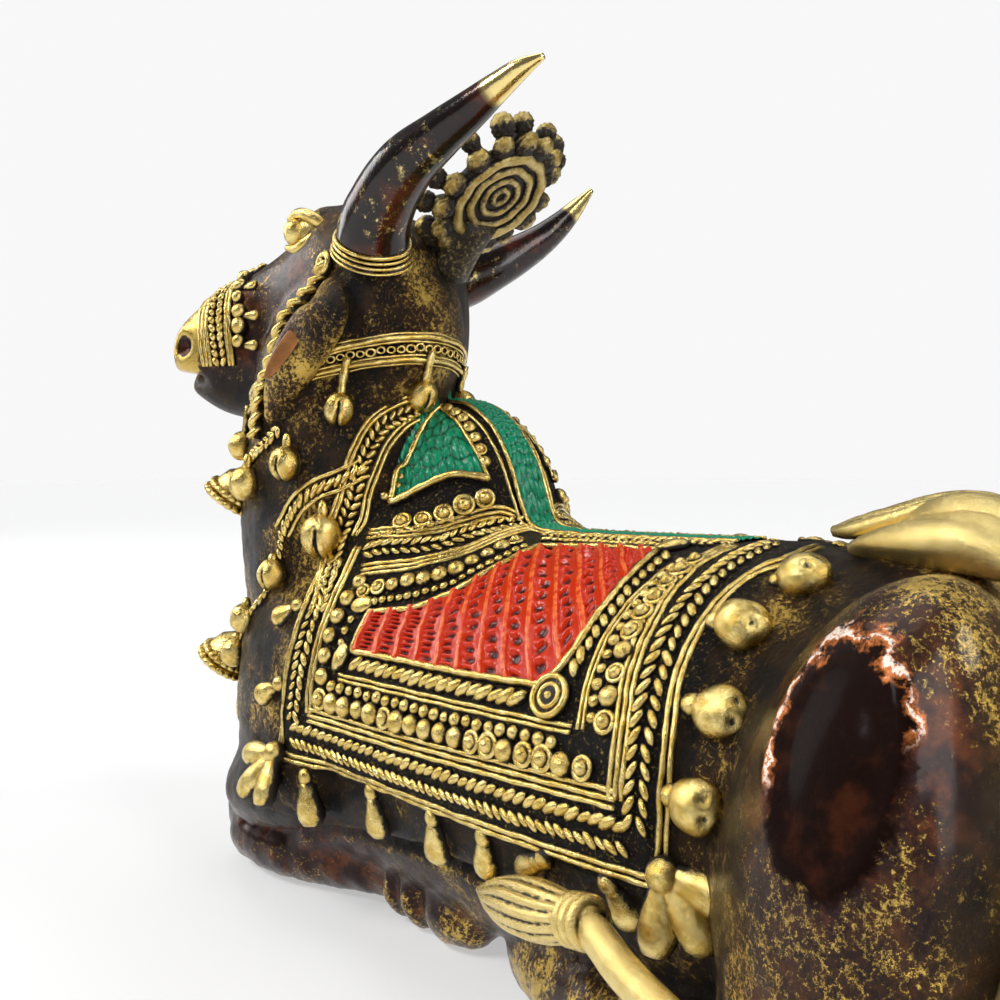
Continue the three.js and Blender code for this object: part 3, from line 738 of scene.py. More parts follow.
def turned(place, degrees):
    """The same place, turned about its outward direction, from along towards across."""
    point, along, across, out = place
    c, s = math.cos(math.radians(degrees)), math.sin(math.radians(degrees))
    return point, along * c + across * s, across * c - along * s, out


def grains(heap, line, pitch, length, width, slant, offset=0.0, height=0.7):
    for distance in line.spread(pitch):
        place = line.at(distance, offset + random.uniform(-0.08, 0.08), 0.12)
        size = np.array([length / 2, width / 2, height]) * random.uniform(0.88, 1.1)
        heap.put(GRAIN, turned(place, slant + random.uniform(-7, 7)), size)


def braid(heap, line, *rows):
    """A chevron of slanted grains, each row given as pitch, length, width, slant and offset."""
    for row in rows:
        grains(heap, line, *row)


def beads(heap, line, radius, pitch, ringed=0.0):
    for distance in line.spread(pitch):
        place = line.at(distance, random.uniform(-0.1, 0.1), 0.12 * radius)
        size = radius * random.uniform(0.88, 1.1)
        if random.random() < ringed:
            heap.put(RING, place, size * 1.1)
            heap.put(BALL, place, size * np.array([0.66, 0.66, 0.8]))
        else:
            heap.put(BALL, place, size * np.array([0.95, 0.95, 0.85]))


def rope(heap, line, radius, pitch):
    grains(heap, line, pitch, radius * 2.9, radius * 1.35, 38, height=radius * 0.8)


def drop(heap, place, length, radius, swing=0.0):
    """A drop lying on the surface, its wide end away from place, along it."""
    length, radius = length * random.uniform(0.93, 1.07), radius * random.uniform(0.93, 1.07)
    profile = [
        (0, 0), (0.5, 0.02), (0.6, 0.12), (0.72, 0.28), (0.92, 0.48), (1, 0.64), (0.97, 0.79), (0.72, 0.93),
        (0, 1),
    ]
    form = swung(lathe([(r * radius, z * length) for r, z in profile], 14))
    heap.put(shaped(form, (1, 1, 0.8)), turned(place, swing))


def bell(heap, place, radius):
    """A round cast bell, with a rimmed slit running along the place."""
    points, faces = FINE_BALL
    along, aside = points[:, 0], points[:, 1]
    groove = np.exp(-((aside / 0.1) ** 2)) * step(along, -0.55, -0.1)
    rim = np.exp(-(((np.abs(aside) - 0.24) / 0.1) ** 2)) * step(along, -0.45, 0)
    points = points * (1 - 0.3 * groove + 0.04 * rim)[:, None] * np.array([1.12, 1, 1])
    points = points * (1 + 0.025 * np.sin(points[:, [1, 2, 0]] * 5 + random.uniform(0, 6)))
    rise = np.clip(1 - 1.5 * groove, 0, 1) * (0.3 + 0.7 * step(points[:, 2], -0.6, 0.2))
    heap.put(shaped((points, faces), radius, (0, 0, radius * 0.45)), place, rise=rise)


def pitted_bell(heap, place, radius):
    """A rough round bell with two dents, darker at their bottoms."""
    points, faces = FINE_BALL
    rise = 0.45 + 0.55 * step(points[:, 2], -0.6, 0.2)
    size = 1 + 0.03 * np.sin(points[:, 0] * 4 + points[:, 1] * 3 + random.uniform(0, 6))
    for ahead, aside in ((0.6, -0.4), (0.35, 0.5)):
        towards = unit([ahead + random.uniform(-0.15, 0.15), aside + random.uniform(-0.2, 0.2), 0.75])
        hole = 1 - step(np.linalg.norm(points - towards, axis=1), 0.1, random.uniform(0.25, 0.42))
        size = size - 0.16 * hole
        rise = rise * (1 - 0.6 * hole)
    form = shaped((points * size[:, None], faces), radius * np.array([1.05, 1.02, 0.9]), (0, 0, radius * 0.4))
    heap.put(form, place, rise=rise)


def big_bell(heap, place, radius):
    """A dome with a double ropy rim round its mouth, which faces along the place."""
    profile = [(0, -1.02), (0.45, -0.92), (0.8, -0.62), (0.98, -0.15), (1.02, 0.35), (0.9, 0.5), (0, 0.42)]
    dome = lathe([(r * radius, z * radius) for r, z in profile], 36)
    heap.put(swung(dome), place, rise=0.5 + 0.5 * step(dome[0][:, 2], 0.5 * radius, 0))
    grain = GRAIN[0] * np.array([0.5, 0.78, 0.5]) * radius * 0.34
    for level, size in ((0.1, 1.06), (0.42, 1.14)):
        for a in round_angles(20):
            c, s = math.cos(a), math.sin(a)
            across, out = -grain[:, 1] * s - grain[:, 2] * c, grain[:, 1] * c - grain[:, 2] * s
            around = np.stack([grain[:, 0], across, out], 1)
            heap.put((around + radius * np.array([level, size * c, size * s]), GRAIN[1]), place, rise=0.85)


# Lines of the saddle cloth, as (forward, degrees from straight up) on the left flank

FRONT_OUTER = [(28.2, 42), (28.7, 60), (29, 76), (29.3, 97)]
FRONT_INNER = [(22.4, 40), (22, 52), (22, 65), (21.2, 84.5)]
FRONT_MIDDLE = [(25.4, 44), (25.3, 52), (25.4, 62), (25.3, 76), (25.4, 88)]
HEM_OUTER = [(29.3, 97), (5, 97), (-25, 95.5), (-54.4, 93.2)]
HEM_INNER = [(21.2, 85), (0, 84.6), (-25, 83), (-47.6, 81.4)]
HEM_MIDDLE = [(26, 91.3), (0, 90.9), (-25, 89.4), (-50, 87.4)]
REAR_OUTER = [
    (-54.4, 4), (-54.4, 16), (-52.2, 30), (-51.4, 42), (-51.8, 56), (-53.3, 68), (-54.2, 80), (-54.4, 93.2),
]
REAR_INNER = [(-42.6, 10), (-42.3, 26), (-43.3, 45), (-44.8, 59), (-46.6, 70), (-47.6, 81.4)]
REAR_MIDDLE = [(-48.4, 7), (-47.8, 22), (-47.4, 36), (-47.9, 50), (-49.2, 64), (-50.6, 78), (-51, 86)]
PANEL_TOP = [(12.6, 55.5), (1.7, 50), (-3, 43.5), (-6.5, 33.3), (-9, 20.5)]
PANEL_BACK = [(-9, 20.5), (-20.8, 18), (-32.8, 18.1)]
PANEL_REAR = [(-32.8, 18.1), (-34.2, 34), (-34.2, 49.6), (-33, 60.5), (-31, 64.3)]
PANEL_FOOT = [(13.3, 66.3), (0.8, 65.8), (-15.5, 65.4), (-31, 64.3)]
HUMP_FOOT_UPPER = [(22.3, 35.8), (12.9, 29.1), (8.5, 20), (3.8, 8)]
HUMP_FOOT_LOWER = [(19, 45.5), (8.9, 37.8), (3.4, 28.3), (1.6, 14.8), (0.8, 4)]
HUMP_BEADS = [(19.1, 31), (16.5, 28.4), (13.2, 25.3), (11.1, 21), (8.5, 16), (6.2, 11)]
SPINE_EDGE = [(25, 3.4), (17, 3.4), (10, 3.8), (5, 5), (0, 6), (-10, 6), (-25, 6), (-42, 6)]
TRIANGLE_TOP = (25.2, 6)
TRIANGLE_FRONT = (22.6, 26.2)
TRIANGLE_REAR = (7.6, 10.6)

# The cloth's front edge over the hump, as places in space

FRONT_UPPER = [
    (23.6, 33.8, 53.4), (25.2, 30.4, 59.5), (27.4, 26.9, 66), (26.9, 24.1, 73.3), (26.7, 22.8, 78.3),
    (26.1, 21.2, 82.3), (25, 19, 86.1), (24.4, 15.2, 88.2), (22.4, 11.6, 89.8),
]
FRONT_UPPER_INNER = [
    (25.2, 24.6, 65.5), (25.5, 23.1, 68.5), (25.4, 22.1, 73.3), (24.8, 20, 79.2), (24.6, 17.7, 83.3),
    (24.2, 14.9, 86.2), (23.9, 10.4, 88.4),
]

# Braids, each as two rows of pitch, length, width, slant and offset

BOLD = ((1.95, 2.9, 1.35, 32, 1.0), (1.75, 2.4, 1.1, -34, -1.0))
TWIN = ((2.0, 3.1, 1.3, 34, 1.12), (2.0, 3.1, 1.3, -34, -1.12))
SLIM = ((1.7, 2.4, 1.1, 34, 0.85), (1.7, 2.4, 1.1, -34, -0.85))
HEM_BRAID = ((1.95, 3.3, 1.45, 30, 1.4), (1.7, 2.9, 1.25, -35, -1.3))
HUMP_BRAID = ((1.85, 2.9, 1.2, 32, 1.0), (1.85, 2.7, 1.15, -32, -1.0))
SPINE_BRAID = ((1.6, 2.2, 0.95, 32, 0.75), (1.6, 2.2, 0.95, -32, -0.75))


def moved(chart, ahead, degrees):
    return [(f + ahead, d + degrees) for f, d in chart]


def laid(heap, tree, side, rows):
    """Ornament from rows of what it is, its line over the cloth, and its own numbers."""
    for form, chart, *sizes in rows:
        form(heap, chart_line(tree, chart, side), *sizes)


def border(heap, tree, side):
    laid(heap, tree, side, [
        (lines, FRONT_OUTER, 2), (lines, FRONT_INNER, 2), (lines, HEM_OUTER, 2), (lines, HEM_INNER, 3),
        (lines, REAR_OUTER, 2), (lines, REAR_INNER, 3),
        (braid, FRONT_MIDDLE, *BOLD), (braid, HEM_MIDDLE, *HEM_BRAID), (braid, REAR_MIDDLE, *TWIN),
    ])
    upper = draped_line(tree, mirrored(FRONT_UPPER, side), side)
    braid(heap, upper, *SLIM)
    thread(heap, upper, 0.42, 2.1, lift=0.3)
    thread(heap, upper, 0.4, 2.9, lift=0.1)
    lines(heap, draped_line(tree, mirrored(FRONT_UPPER_INNER, side), side))


def field(heap, tree, side):
    """Ornament of the cloth between its borders and the panel."""
    lower_half = HUMP_FOOT_LOWER[:1] + HUMP_FOOT_LOWER[2:]
    hump_foot_middle = np.add(HUMP_FOOT_UPPER, lower_half) / 2
    corners = [np.array(corner) for corner in (TRIANGLE_TOP, TRIANGLE_FRONT, TRIANGLE_REAR)]
    edges = [[a, (a + b) / 2, b] for a, b in zip(corners, corners[1:] + corners[:1])]
    laid(heap, tree, side, [
        (lines, [(-39, 26), (-37.9, 44), (-38.4, 59), (-39.9, 71)], 2, 0.34, 0.8),
        (lines, [(15, 73.5), (0, 73.1), (-18, 72.5), (-38.4, 71.5)], 2, 0.36, 0.85),
        (rope, [(12, 69.4), (-10, 69), (-28.6, 68.2)], 1.35, 2.2),
        (rope, [(-36, 20), (-36.3, 40), (-36, 52), (-35.4, 61)], 1.1, 2.0),
        (beads, [(17, 76.2), (-10, 75.9), (-37, 74.6)], 1.1, 2.5),
        (beads, [(20, 80.3), (-5, 79.8), (-43.6, 77.7)], 1.85, 3.5, 0.35),
        (beads, [(-41.6, 20), (-41.4, 40), (-42.2, 55), (-44, 71)], 1.6, 3.2, 0.6),
        (beads, [(-39.5, 22), (-39.4, 42), (-40, 57), (-41.4, 70)], 0.95, 2.2),
        (beads, [(18.2, 77), (19, 70), (19.4, 62), (18.8, 53), (17.6, 46)], 1.65, 3.3, 0.25),
        (beads, [(16.2, 73), (16.4, 64), (16.2, 57)], 0.85, 1.9),
        (lines, HUMP_FOOT_UPPER, 3),
        (lines, HUMP_FOOT_LOWER, 3),
        (braid, hump_foot_middle, *HUMP_BRAID),
        (beads, HUMP_BEADS, 2.0, 3.7, 0.7),
        (beads, moved(HUMP_BEADS[:-1], 1.3, 5.0), 0.9, 1.8),
        (beads, [(24.2, 19), (23.6, 27)], 0.85, 1.8),
        (beads, [(22.8, 6), (14, 7.6), (8.6, 9.6)], 1.35, 2.6, 0.3),
        (beads, [(17.6, 51.5), (9, 45), (2, 38.4), (-1.4, 27), (-2.6, 16)], 1.6, 3.0, 0.2),
        (beads, [(13.6, 52.8), (4.6, 47), (-0.6, 40.8), (-4, 31.6), (-6.4, 20)], 0.85, 1.7),
        (braid, [(-4.4, 10.6), (-20, 9.9), (-40, 9.6)], *SPINE_BRAID),
        (grains, [(-6.6, 15), (-20, 14.3), (-36, 14.1)], 1.35, 1.9, 0.85, 28),
        *[(thread, chart, 0.62, 0, 0.35) for chart in (PANEL_TOP, PANEL_BACK, PANEL_REAR, PANEL_FOOT)],
        (thread, [PANEL_TOP[0], PANEL_FOOT[0]], 0.5, 0, 0.35),
        (thread, SPINE_EDGE, 0.45, 0, 0.25),
        (thread, moved(SPINE_EDGE, 0, 1.9), 0.34),
        *[(thread, edge, radius, 0, radius) for edge, radius in zip(edges, (0.6, 0.75, 0.45))],
    ])


def boss(heap, place, size):
    """A flat round knob with two rings and a button."""
    heap.put(BALL, place, size * np.array([0.95, 0.95, 0.25]), 0.3)
    for radius, thick in ((0.88, 0.15), (0.5, 0.13)):
        heap.put(shaped(doughnut(radius, thick, 30, 8), (1, 1, 1.3), (0, 0, 0.12)), place, size)
    heap.put(BALL, place, size * np.array([0.24, 0.24, 0.4]))


def knobs(heap, tree, side):
    """The boss at the panel's lower rear corner and flat ovals at the others, each turned its own way."""
    for f, degrees, size, turn in (
        (-33.6, 66.2, 3.1, None), (14.9, 54.2, 2.4, 20), (15, 68.5, 2.5, 75), (-34.2, 14.8, 2.6, 40),
    ):
        line = chart_line(tree, [(f + 2, degrees), (f - 2, degrees)], side)
        place = line.at(line.length / 2, lift=0.5)
        if turn is None:
            boss(heap, place, size)
        else:
            heap.put(FINE_BALL, turned(place, turn), size * np.array([1.0, 0.66, 0.38]))


# Where each drop of the hem starts and where it points, and place and size of each bell behind the cloth
HEM_DROPS = [
    ((21, 100), (20, 111)), ((5, 99.4), (4.5, 110)), ((-11.5, 98.6), (-11, 108.6)), ((-23, 98), (-22, 107.6)),
    ((-36, 96.8), (-28.6, 105)), ((-46.5, 96.4), (-48.6, 105.5)),
]
REAR_BELLS = [(-60.2, 27, 3.4), (-57, 43.5, 3.4), (-58.4, 61.5, 3.3), (-58.8, 78, 3.2)]


def fringe(heap, tree, side):
    """Drops and bells that hang from the cloth's edges."""
    for start, end in HEM_DROPS:
        line = chart_line(tree, [start, end], side)
        heap.put(BALL, line.at(0.3), np.array([1.6, 1.5, 1.4]))
        drop(heap, line.at(1.1), line.length, 2.7)
    for f, degrees in ((30.6, 58), (30.8, 79)):
        heap.put(BALL, chart_line(tree, [(f, degrees), (f + 6, degrees + 5)], side).at(0.3), 1.5)
        below = chart_line(tree, [(f + 1.2, degrees + 1), (f + 7, degrees + 6)], side)
        drop(heap, below.at(0.3), 5.6, 2.2)
    for start, end, fan in (((28.8, 97), (34, 107), 46), ((-54.6, 91), (-58.8, 99.5), 42)):
        place = chart_line(tree, [start, end], side).at(0.3, lift=0.9)
        for swing, length in ((-fan, 9), (fan, 9), (0, 10.4)):
            drop(heap, place, length, 2.5, swing)
        heap.put(BALL, place, 2.2)
    for f, degrees, size in REAR_BELLS:
        line = chart_line(tree, [(f + size + 0.8, degrees), (f - 6, degrees + 1)], side)
        point, along, *others = line.at(0.3)
        heap.put(BALL, (point, along, *others), 1.5)
        pitted_bell(heap, (point + along * (size + 0.3), along, *others), size)


# Enamel

def enamel_sheet(name, material, tree, corner_of, counts, lift_of, side):
    """A sheet over the cloth. corner_of(s, t) is forward and degrees, lift_of(s, t) is height and rise."""
    columns, rows = counts
    points, rises = [], []
    for s in np.arange(columns) / (columns - 1):
        for t in np.arange(rows) / (rows - 1):
            p, n = cast_at(tree, *corner_of(s, t), side)
            lift, rise = lift_of(s, t)
            points.append(p + n * lift)
            rises.append(rise)
    faces = []
    for i in range(columns - 1):
        for j in range(rows - 1):
            a = i * rows + j
            quad = (a, a + rows, a + rows + 1, a + 1)
            faces.append(quad if side < 0 else quad[::-1])
    shown(name, points, faces, material, {"rise": rises})


def chart_path(chart):
    """A line of the cloth as forward and degrees for each share of its length."""
    rows = np.array([(f, degrees * CHART_SCALE) for f, degrees in chart])
    gaps = np.concatenate([[0], np.cumsum(np.linalg.norm(np.diff(rows, axis=0), axis=1))])
    return lambda s: np.array([np.interp(s * gaps[-1], gaps, rows[:, n]) for n in (0, 1)]) / (1, CHART_SCALE)


def fade(x, low, high):
    return 1 - float(step(x, low, high))


def red_panel(material, tree, side):
    """Narrow near-upright ridges, leaning back towards their feet, with a row of pits beside each."""
    top, foot = chart_path(PANEL_TOP + PANEL_BACK[1:]), chart_path(PANEL_FOOT[:-1] + PANEL_REAR[::-1])

    def corner_of(s, t):
        return top(s) + (foot(s) - top(s)) * t

    def lift_of(s, t):
        wave = s * RIDGE_COUNT + 0.03 * math.sin(11 * t + 9 * s)
        column = math.floor(wave)
        x = wave - column
        beat = t * 11 + 0.37 * column + 0.3 * math.sin(5 * column + 6 * t)
        y = beat - math.floor(beat) - 0.5
        lean = x - 0.62 - 0.1 * math.sin(7 * column + 19 * t)
        ridge = fade(abs(x - 0.22), 0.07, 0.2)
        pit = fade(math.hypot(lean / 0.24, y / 0.36), 0.4, 1.1)
        bump = fade(math.hypot((x - 0.55) / 0.24, (abs(y) - 0.5) / 0.28), 0.3, 1.1)
        rim = min(s, 1 - s, t, 1 - t) * 22
        height = max(ridge, 0.32 + 0.4 * bump - 0.45 * pit) * float(step(rim, -0.6, 0.5))
        return 0.15 + 1.05 * max(height, -0.05), max(ridge, 0.42 + 0.35 * bump - 0.4 * pit)

    name = side_name("red_enamel", side)
    enamel_sheet(name, material, tree, corner_of, (300, 92), lift_of, side)


def scales(u, v):
    """Small uneven loops in wavering rows, as a height from 0 to 1."""
    row = v + 0.2 * math.sin(2.7 * u + 1.3 * math.sin(1.9 * v))
    across = abs(math.sin(math.pi * row)) ** 0.5
    loops = 0.5 + 0.5 * math.sin(8.3 * u + 2.4 * math.sin(3.7 * math.floor(row) + 0.6 * u))
    small = 0.5 + 0.5 * math.sin(19 * u + 5 * v + 2 * math.sin(7 * v))
    return across * (0.2 + 0.6 * loops ** 0.7 + 0.2 * small)


def green_triangle(material, tree, side):
    top, front, rear = [np.array(corner, float) for corner in (TRIANGLE_TOP, TRIANGLE_FRONT, TRIANGLE_REAR)]

    def corner_of(s, t):
        base = front + (rear - front) * s
        return base + (top - base) * t

    def lift_of(s, t):
        rim = min(t * 14, s * (1 - t) * 16, (1 - s) * (1 - t) * 16)
        height = scales((s - 0.5) * (1 - t) * 9, t * 6.5)
        return 0.15 + 0.8 * height * float(step(rim, -0.4, 1.6)), height

    name = side_name("green_triangle", side)
    enamel_sheet(name, material, tree, corner_of, (120, 96), lift_of, side)


def green_stripe(material, tree):
    edge = chart_path(SPINE_EDGE)

    def corner_of(s, t):
        f, degrees = edge(s)
        return f, degrees * (1 - 2 * t)

    def lift_of(s, t):
        height = scales(t * 4.6 + 0.3 * math.sin(s * 60), s * 58)
        return 0.2 + 0.5 * height * float(step(min(t, 1 - t) * 6, 0, 0.6)), height

    enamel_sheet("green_stripe", material, tree, corner_of, (420, 30), lift_of, -1)


# Horns and crest

HORN_LEFT = [
    (30, 17.5, 117, 6.9), (28.6, 18.7, 119, 6.9), (25.5, 20.5, 123.5, 6.7), (21.5, 21.5, 126.8, 6.1),
    (13.5, 22.5, 131.5, 5.2), (4.5, 22.2, 134.8, 4), (-3, 21.5, 137.5, 3.1), (-8.5, 20.5, 140, 2.3),
    (-12.5, 19.3, 142, 1.6), (-16, 18, 143.2, 0.5),
]
HORN_RIGHT = [
    (46, -9, 117, 6.6), (43.5, -12.5, 119, 6.6), (40.5, -16, 120.5, 6), (37, -19.5, 122.5, 5),
    (33.9, -24, 125.5, 4.3), (31, -28.6, 129, 3.5), (28.5, -32.6, 133, 2.7), (26.8, -36, 137, 1.8),
    (25, -39, 141, 0.6),
]
HORN_RINGS = 90
HORN_SIDES = 40
CREST_SIDES = 56


def ring_round(heap, centre, axis, radius, thick):
    points, faces = doughnut(radius, thick, 40, 8)
    turn = np.array(Vector((0, 0, 1)).rotation_difference(Vector(axis)).to_matrix())
    rise = 0.4 + 0.6 * np.clip((np.hypot(points[:, 0], points[:, 1]) - radius) / thick + 0.3, 0, 1)
    heap.add((points @ turn.T + centre, faces), rise)


def horn(name, rows, material, heap):
    """A horn with a worn tip, and four rings round its root."""
    points, faces = tube(rows, UP, HORN_RINGS, HORN_SIDES)
    line = spline(rows, HORN_RINGS)
    tip = step(np.repeat(np.linspace(0, 1, HORN_RINGS), HORN_SIDES), 0.8, 0.83)
    shown(name, points, faces, material, {"gold": [*tip, 0, 1]})
    axis = unit(line[16, :3] - line[4, :3])
    for distance, thick, gap in ((4, 0.28, 0.9), (5.5, 0.3, 0.65), (7, 0.3, 0.4), (8.6, 0.42, 0.25)):
        low = int(distance)
        centre = line[low, :3] + (line[low + 1, :3] - line[low, :3]) * (distance - low)
        ring_round(heap, centre, axis, line[low, 3] + gap, thick)


def crest(heap):
    """A disc with ringed ridges, a tier of scallops round it and a tier of grainy balls before them."""
    c, s = math.cos(CREST_TURN), math.sin(CREST_TURN)
    front = np.array([math.cos(CREST_TILT) * c, math.cos(CREST_TILT) * s, math.sin(CREST_TILT)])
    across = np.array([-s, c, 0])
    basis = (np.array(CREST_CENTRE), across, np.cross(front, across), front)

    def local(form, rise):
        heap.put(form, basis, 1.0, rise)

    local(lathe([(0, -0.9), (9.8, -0.9), (11.4, -0.2), (11.2, 1.2), (9, 2), (0, 2.8)], CREST_SIDES), 0.15)
    for radius, thick in ((9.3, 1.2), (6.5, 1.0), (3.9, 0.85), (1.6, 0.8)):
        points, faces = doughnut(radius, thick, CREST_SIDES, 10)
        points = points * np.array([1, 1, 0.8]) * (1 + 0.025 * np.sin(points[:, [1, 0, 2]] * 1.3))
        points += np.array([0.25, 0.35, 0]) * (9.3 - radius) / 5 - 0.9 * UP
        local((points, faces), np.clip(-0.62 - points[:, 2] * 0.8, 0, 0.75))
    for radius, thick in ((7.6, 0.7), (5.4, 0.55)):
        points, faces = doughnut(radius, thick, CREST_SIDES, 10)
        local((points + 2.3 * UP, faces), np.clip(0.2 + points[:, 2], 0, 0.75))
    local(shaped(BALL, (3.2, 3.2, 1.6), (0, 0, 2.7)), 0.6)
    points, faces = FINE_BALL
    for n in range(CREST_PETALS):
        a = 2 * math.pi * (n + 0.2 * random.uniform(-1, 1)) / CREST_PETALS
        turn = np.array(Matrix.Rotation(a, 3, "Z"))
        petal = points * np.array([2.9, 2.4, 1.4]) * random.uniform(0.92, 1.1) + np.array([11.7, 0, -0.1])
        petal = petal + 0.16 * np.sin(points[:, [1, 2, 0]] * 11 + n)
        local((petal @ turn.T, faces), 0.25 + 0.4 * step(petal[:, 0], 10.5, 14))
        turn = np.array(Matrix.Rotation(a + 0.1 * random.uniform(-1, 1), 3, "Z"))
        ball = points * np.array([2.3, 2.0, 2.1]) * random.uniform(0.88, 1.12) + np.array([14.4, 0, 2.5])
        ball = ball + 0.22 * np.sin(points[:, [2, 0, 1]] * 14 + 2 * n) * np.sin(points[:, [1, 2, 0]] * 12)
        local((ball @ turn.T, faces), 0.3 + 0.6 * step(points[:, 0] + points[:, 2], -0.2, 1.2))
        stem = shaped(FINE_BALL, (3.2, 1.6, 1.5), (11.6, 0, 1.4))[0]
        local((stem @ turn.T, faces), 0.15)
    heap.add(tube([(18, 0.8, 126, 4, 3), (23, 1, 122.5, 4.5, 3.5), (28, 1, 118, 5, 4)], LEFT, 8, 16), 0.36)


# Ornament of the neck and breast, as places on the left, above the floor

THROAT_CORD = [(40, 33, 86), (46, 33, 82), (53, 31, 79), (59, 25, 76), (63, 16, 74), (64.5, 9, 73.5)]
BREAST_BRAID = [(26.4, 22, 78.4), (29.6, 26.9, 75.7), (32.7, 29, 74.2), (35.5, 31.6, 71), (37.5, 33.5, 66.5)]
BREAST_CHAIN = [
    (37.5, 33.5, 66.5), (39.5, 35, 59), (45, 35, 53), (52, 33.5, 46), (58, 29, 41.5), (62, 20, 39),
    (64, 10, 38), (64.5, 3, 38),
]
NECK_BELLS = [((36.5, 34, 79.5), 3.0), ((49, 34, 75.5), 3.0), ((28.4, 30.9, 66.2), 3.7)]
CHAIN_BELLS = [((39.5, 35, 58.6), 2.7), ((49, 34, 49.5), 2.6), ((54, 33, 42), 2.6), ((63, 12, 37), 2.6)]
DOME_BELLS = [((61.5, 29, 73.5), 4.9), ((63, 30, 40), 4.7)]
DOME_MOUTH = (0.45, 0.35, -0.82)
BREAST_TAB = (56, 33, 31)
# Degrees round the neck, length of the bar and size of the bell
COLLAR_BELLS = [(180, 9.4, 2.9), (136, 10.6, 2.9), (-140, 9, 2.9), (-95, 10, 2.9), (60, 9, 2.6), (0, 9, 2.9)]
# Height from the collar's middle, radius and lift of each thread
COLLAR_THREADS = [
    (2.1, 0.55, 0.45), (-2.1, 0.55, 0.45), (1.3, 0.3, 0.2), (-1.3, 0.3, 0.2), (2.9, 0.28, 0.1),
    (-2.9, 0.28, 0.1),
]


def other_side(place, side):
    """A place near the neck, or its like on the other side of the neck's own middle."""
    f, left, up = place
    middle = column_at(NECK, 2, up, (1,))[0]
    return (f, left if side > 0 else 2 * middle - left, up)


def bell_on(heap, tree, place, size, side, hang=3.0):
    """A bell against the surface, hanging from a short bar above it."""
    point, normal = nearest(tree, other_side(place, side))
    out = unit(normal * np.array([1, 1, 0.4]))
    down = unit(out * out[2] - UP)
    basis = (point, down, np.cross(out, down), out)
    bar = shaped(GRAIN, (hang / 2 + 0.8, 0.95, 0.95), (-size - hang / 2 + 0.8, 0, 0.9))
    heap.put(bar, basis, rise=0.85)
    bell(heap, basis, size)


def dome_bell(heap, tree, place, mouth, radius, side):
    """A wide bell that stands off the breast with its mouth down and forward."""
    centre = np.array(other_side(place, side))
    along = unit(mirrored([mouth], side)[0])
    across = unit(np.cross(along, UP))
    big_bell(heap, (centre, along, across, np.cross(along, across)), radius)
    point = nearest(tree, centre)[0]
    stalk = [(*(point + (centre - along * radius - point) * q), 1.5) for q in (0, 0.5, 1)]
    heap.add(tube(stalk, along, 8, 12), 0.4)


def round_neck(tree, degrees, height):
    """The outermost surface at an angle round the neck and a height. The jaw stands out on the right."""
    lift = 3.0 + 5.0 * math.exp(-(((degrees % 360 - 270) / 25) ** 2))
    start = on_neck(degrees, height, lift)
    middle = np.array([*column_at(NECK, 2, height, (0, 1)), height])
    return struck(tree, start, unit(middle - start), 6 + lift, on_neck(degrees, height))


def neck_line(tree, places):
    return Line([round_neck(tree, degrees, height) for degrees, height in places], 1, (2, 6))


def collar_height(degrees):
    return 94.5 - 6.5 * math.cos(math.radians(degrees))


def collar(heap, tree):
    """A band of threads with a row of rings between them, and bells on bars."""
    def band(rise):
        return neck_line(tree, [(d, collar_height(d) + rise) for d in range(0, 361, 4)])

    for rise, radius, lift in COLLAR_THREADS:
        thread(heap, band(rise), radius, lift=lift)
    middle = band(0)
    for distance in middle.spread(1.9):
        place = middle.at(distance, random.uniform(-0.2, 0.2), 0.35)
        heap.put(RING, place, np.array([1.1, 0.85, 1]) * random.uniform(0.85, 1.1))
    for degrees, hang, size in COLLAR_BELLS:
        top = collar_height(degrees) - 0.4
        bar = neck_line(tree, [(degrees, top - (hang - 2.5) * n / 8) for n in range(9)])
        thread(heap, bar, 0.85, lift=0.7)
        point, along, *others = bar.at(bar.length - 0.2)
        bell(heap, (point + along * 1.8, along, *others), size)


def necklaces(heap, tree):
    """A cord with bells close under the jaw, and over the breast a braid that runs into a chain of bells."""
    for side in SIDES:
        cord, sash, chain = [
            draped_line(tree, [other_side(place, side) for place in places], side)
            for places in (THROAT_CORD, BREAST_BRAID, BREAST_CHAIN)
        ]
        for turn, offset in ((35, 0.6), (-35, -0.6)):
            grains(heap, cord, 1.7, 2.5, 1.2, turn, offset)
        for offset in (1.7, -1.7):
            thread(heap, sash, 0.42, offset, lift=0.3)
        grains(heap, sash, 1.6, 3.3, 1.2, 38, height=0.8)
        rope(heap, chain, 0.9, 1.7)
        for place, size in NECK_BELLS:
            bell_on(heap, tree, place, size, side)
        for place, size in CHAIN_BELLS:
            bell_on(heap, tree, place, size, side, hang=1.5)
        for place, size in DOME_BELLS:
            dome_bell(heap, tree, place, DOME_MOUTH, size, side)
        point, normal = nearest(tree, mirrored([BREAST_TAB], side)[0])
        tab = (point, -UP, unit(np.cross(normal, -UP)), normal)
        heap.put(BALL, tab, np.array([3.2, 1.7, 0.8]))
    bell_on(heap, tree, (66, 4, 70), 3.2, 1)
    dome_bell(heap, tree, (68, 4, 36), (0.3, 0, -0.9), 3.6, 1)


# Ornament of the head

HALTER_TWIST = 6.0  # length of one turn
STRAND_SIDES = 10


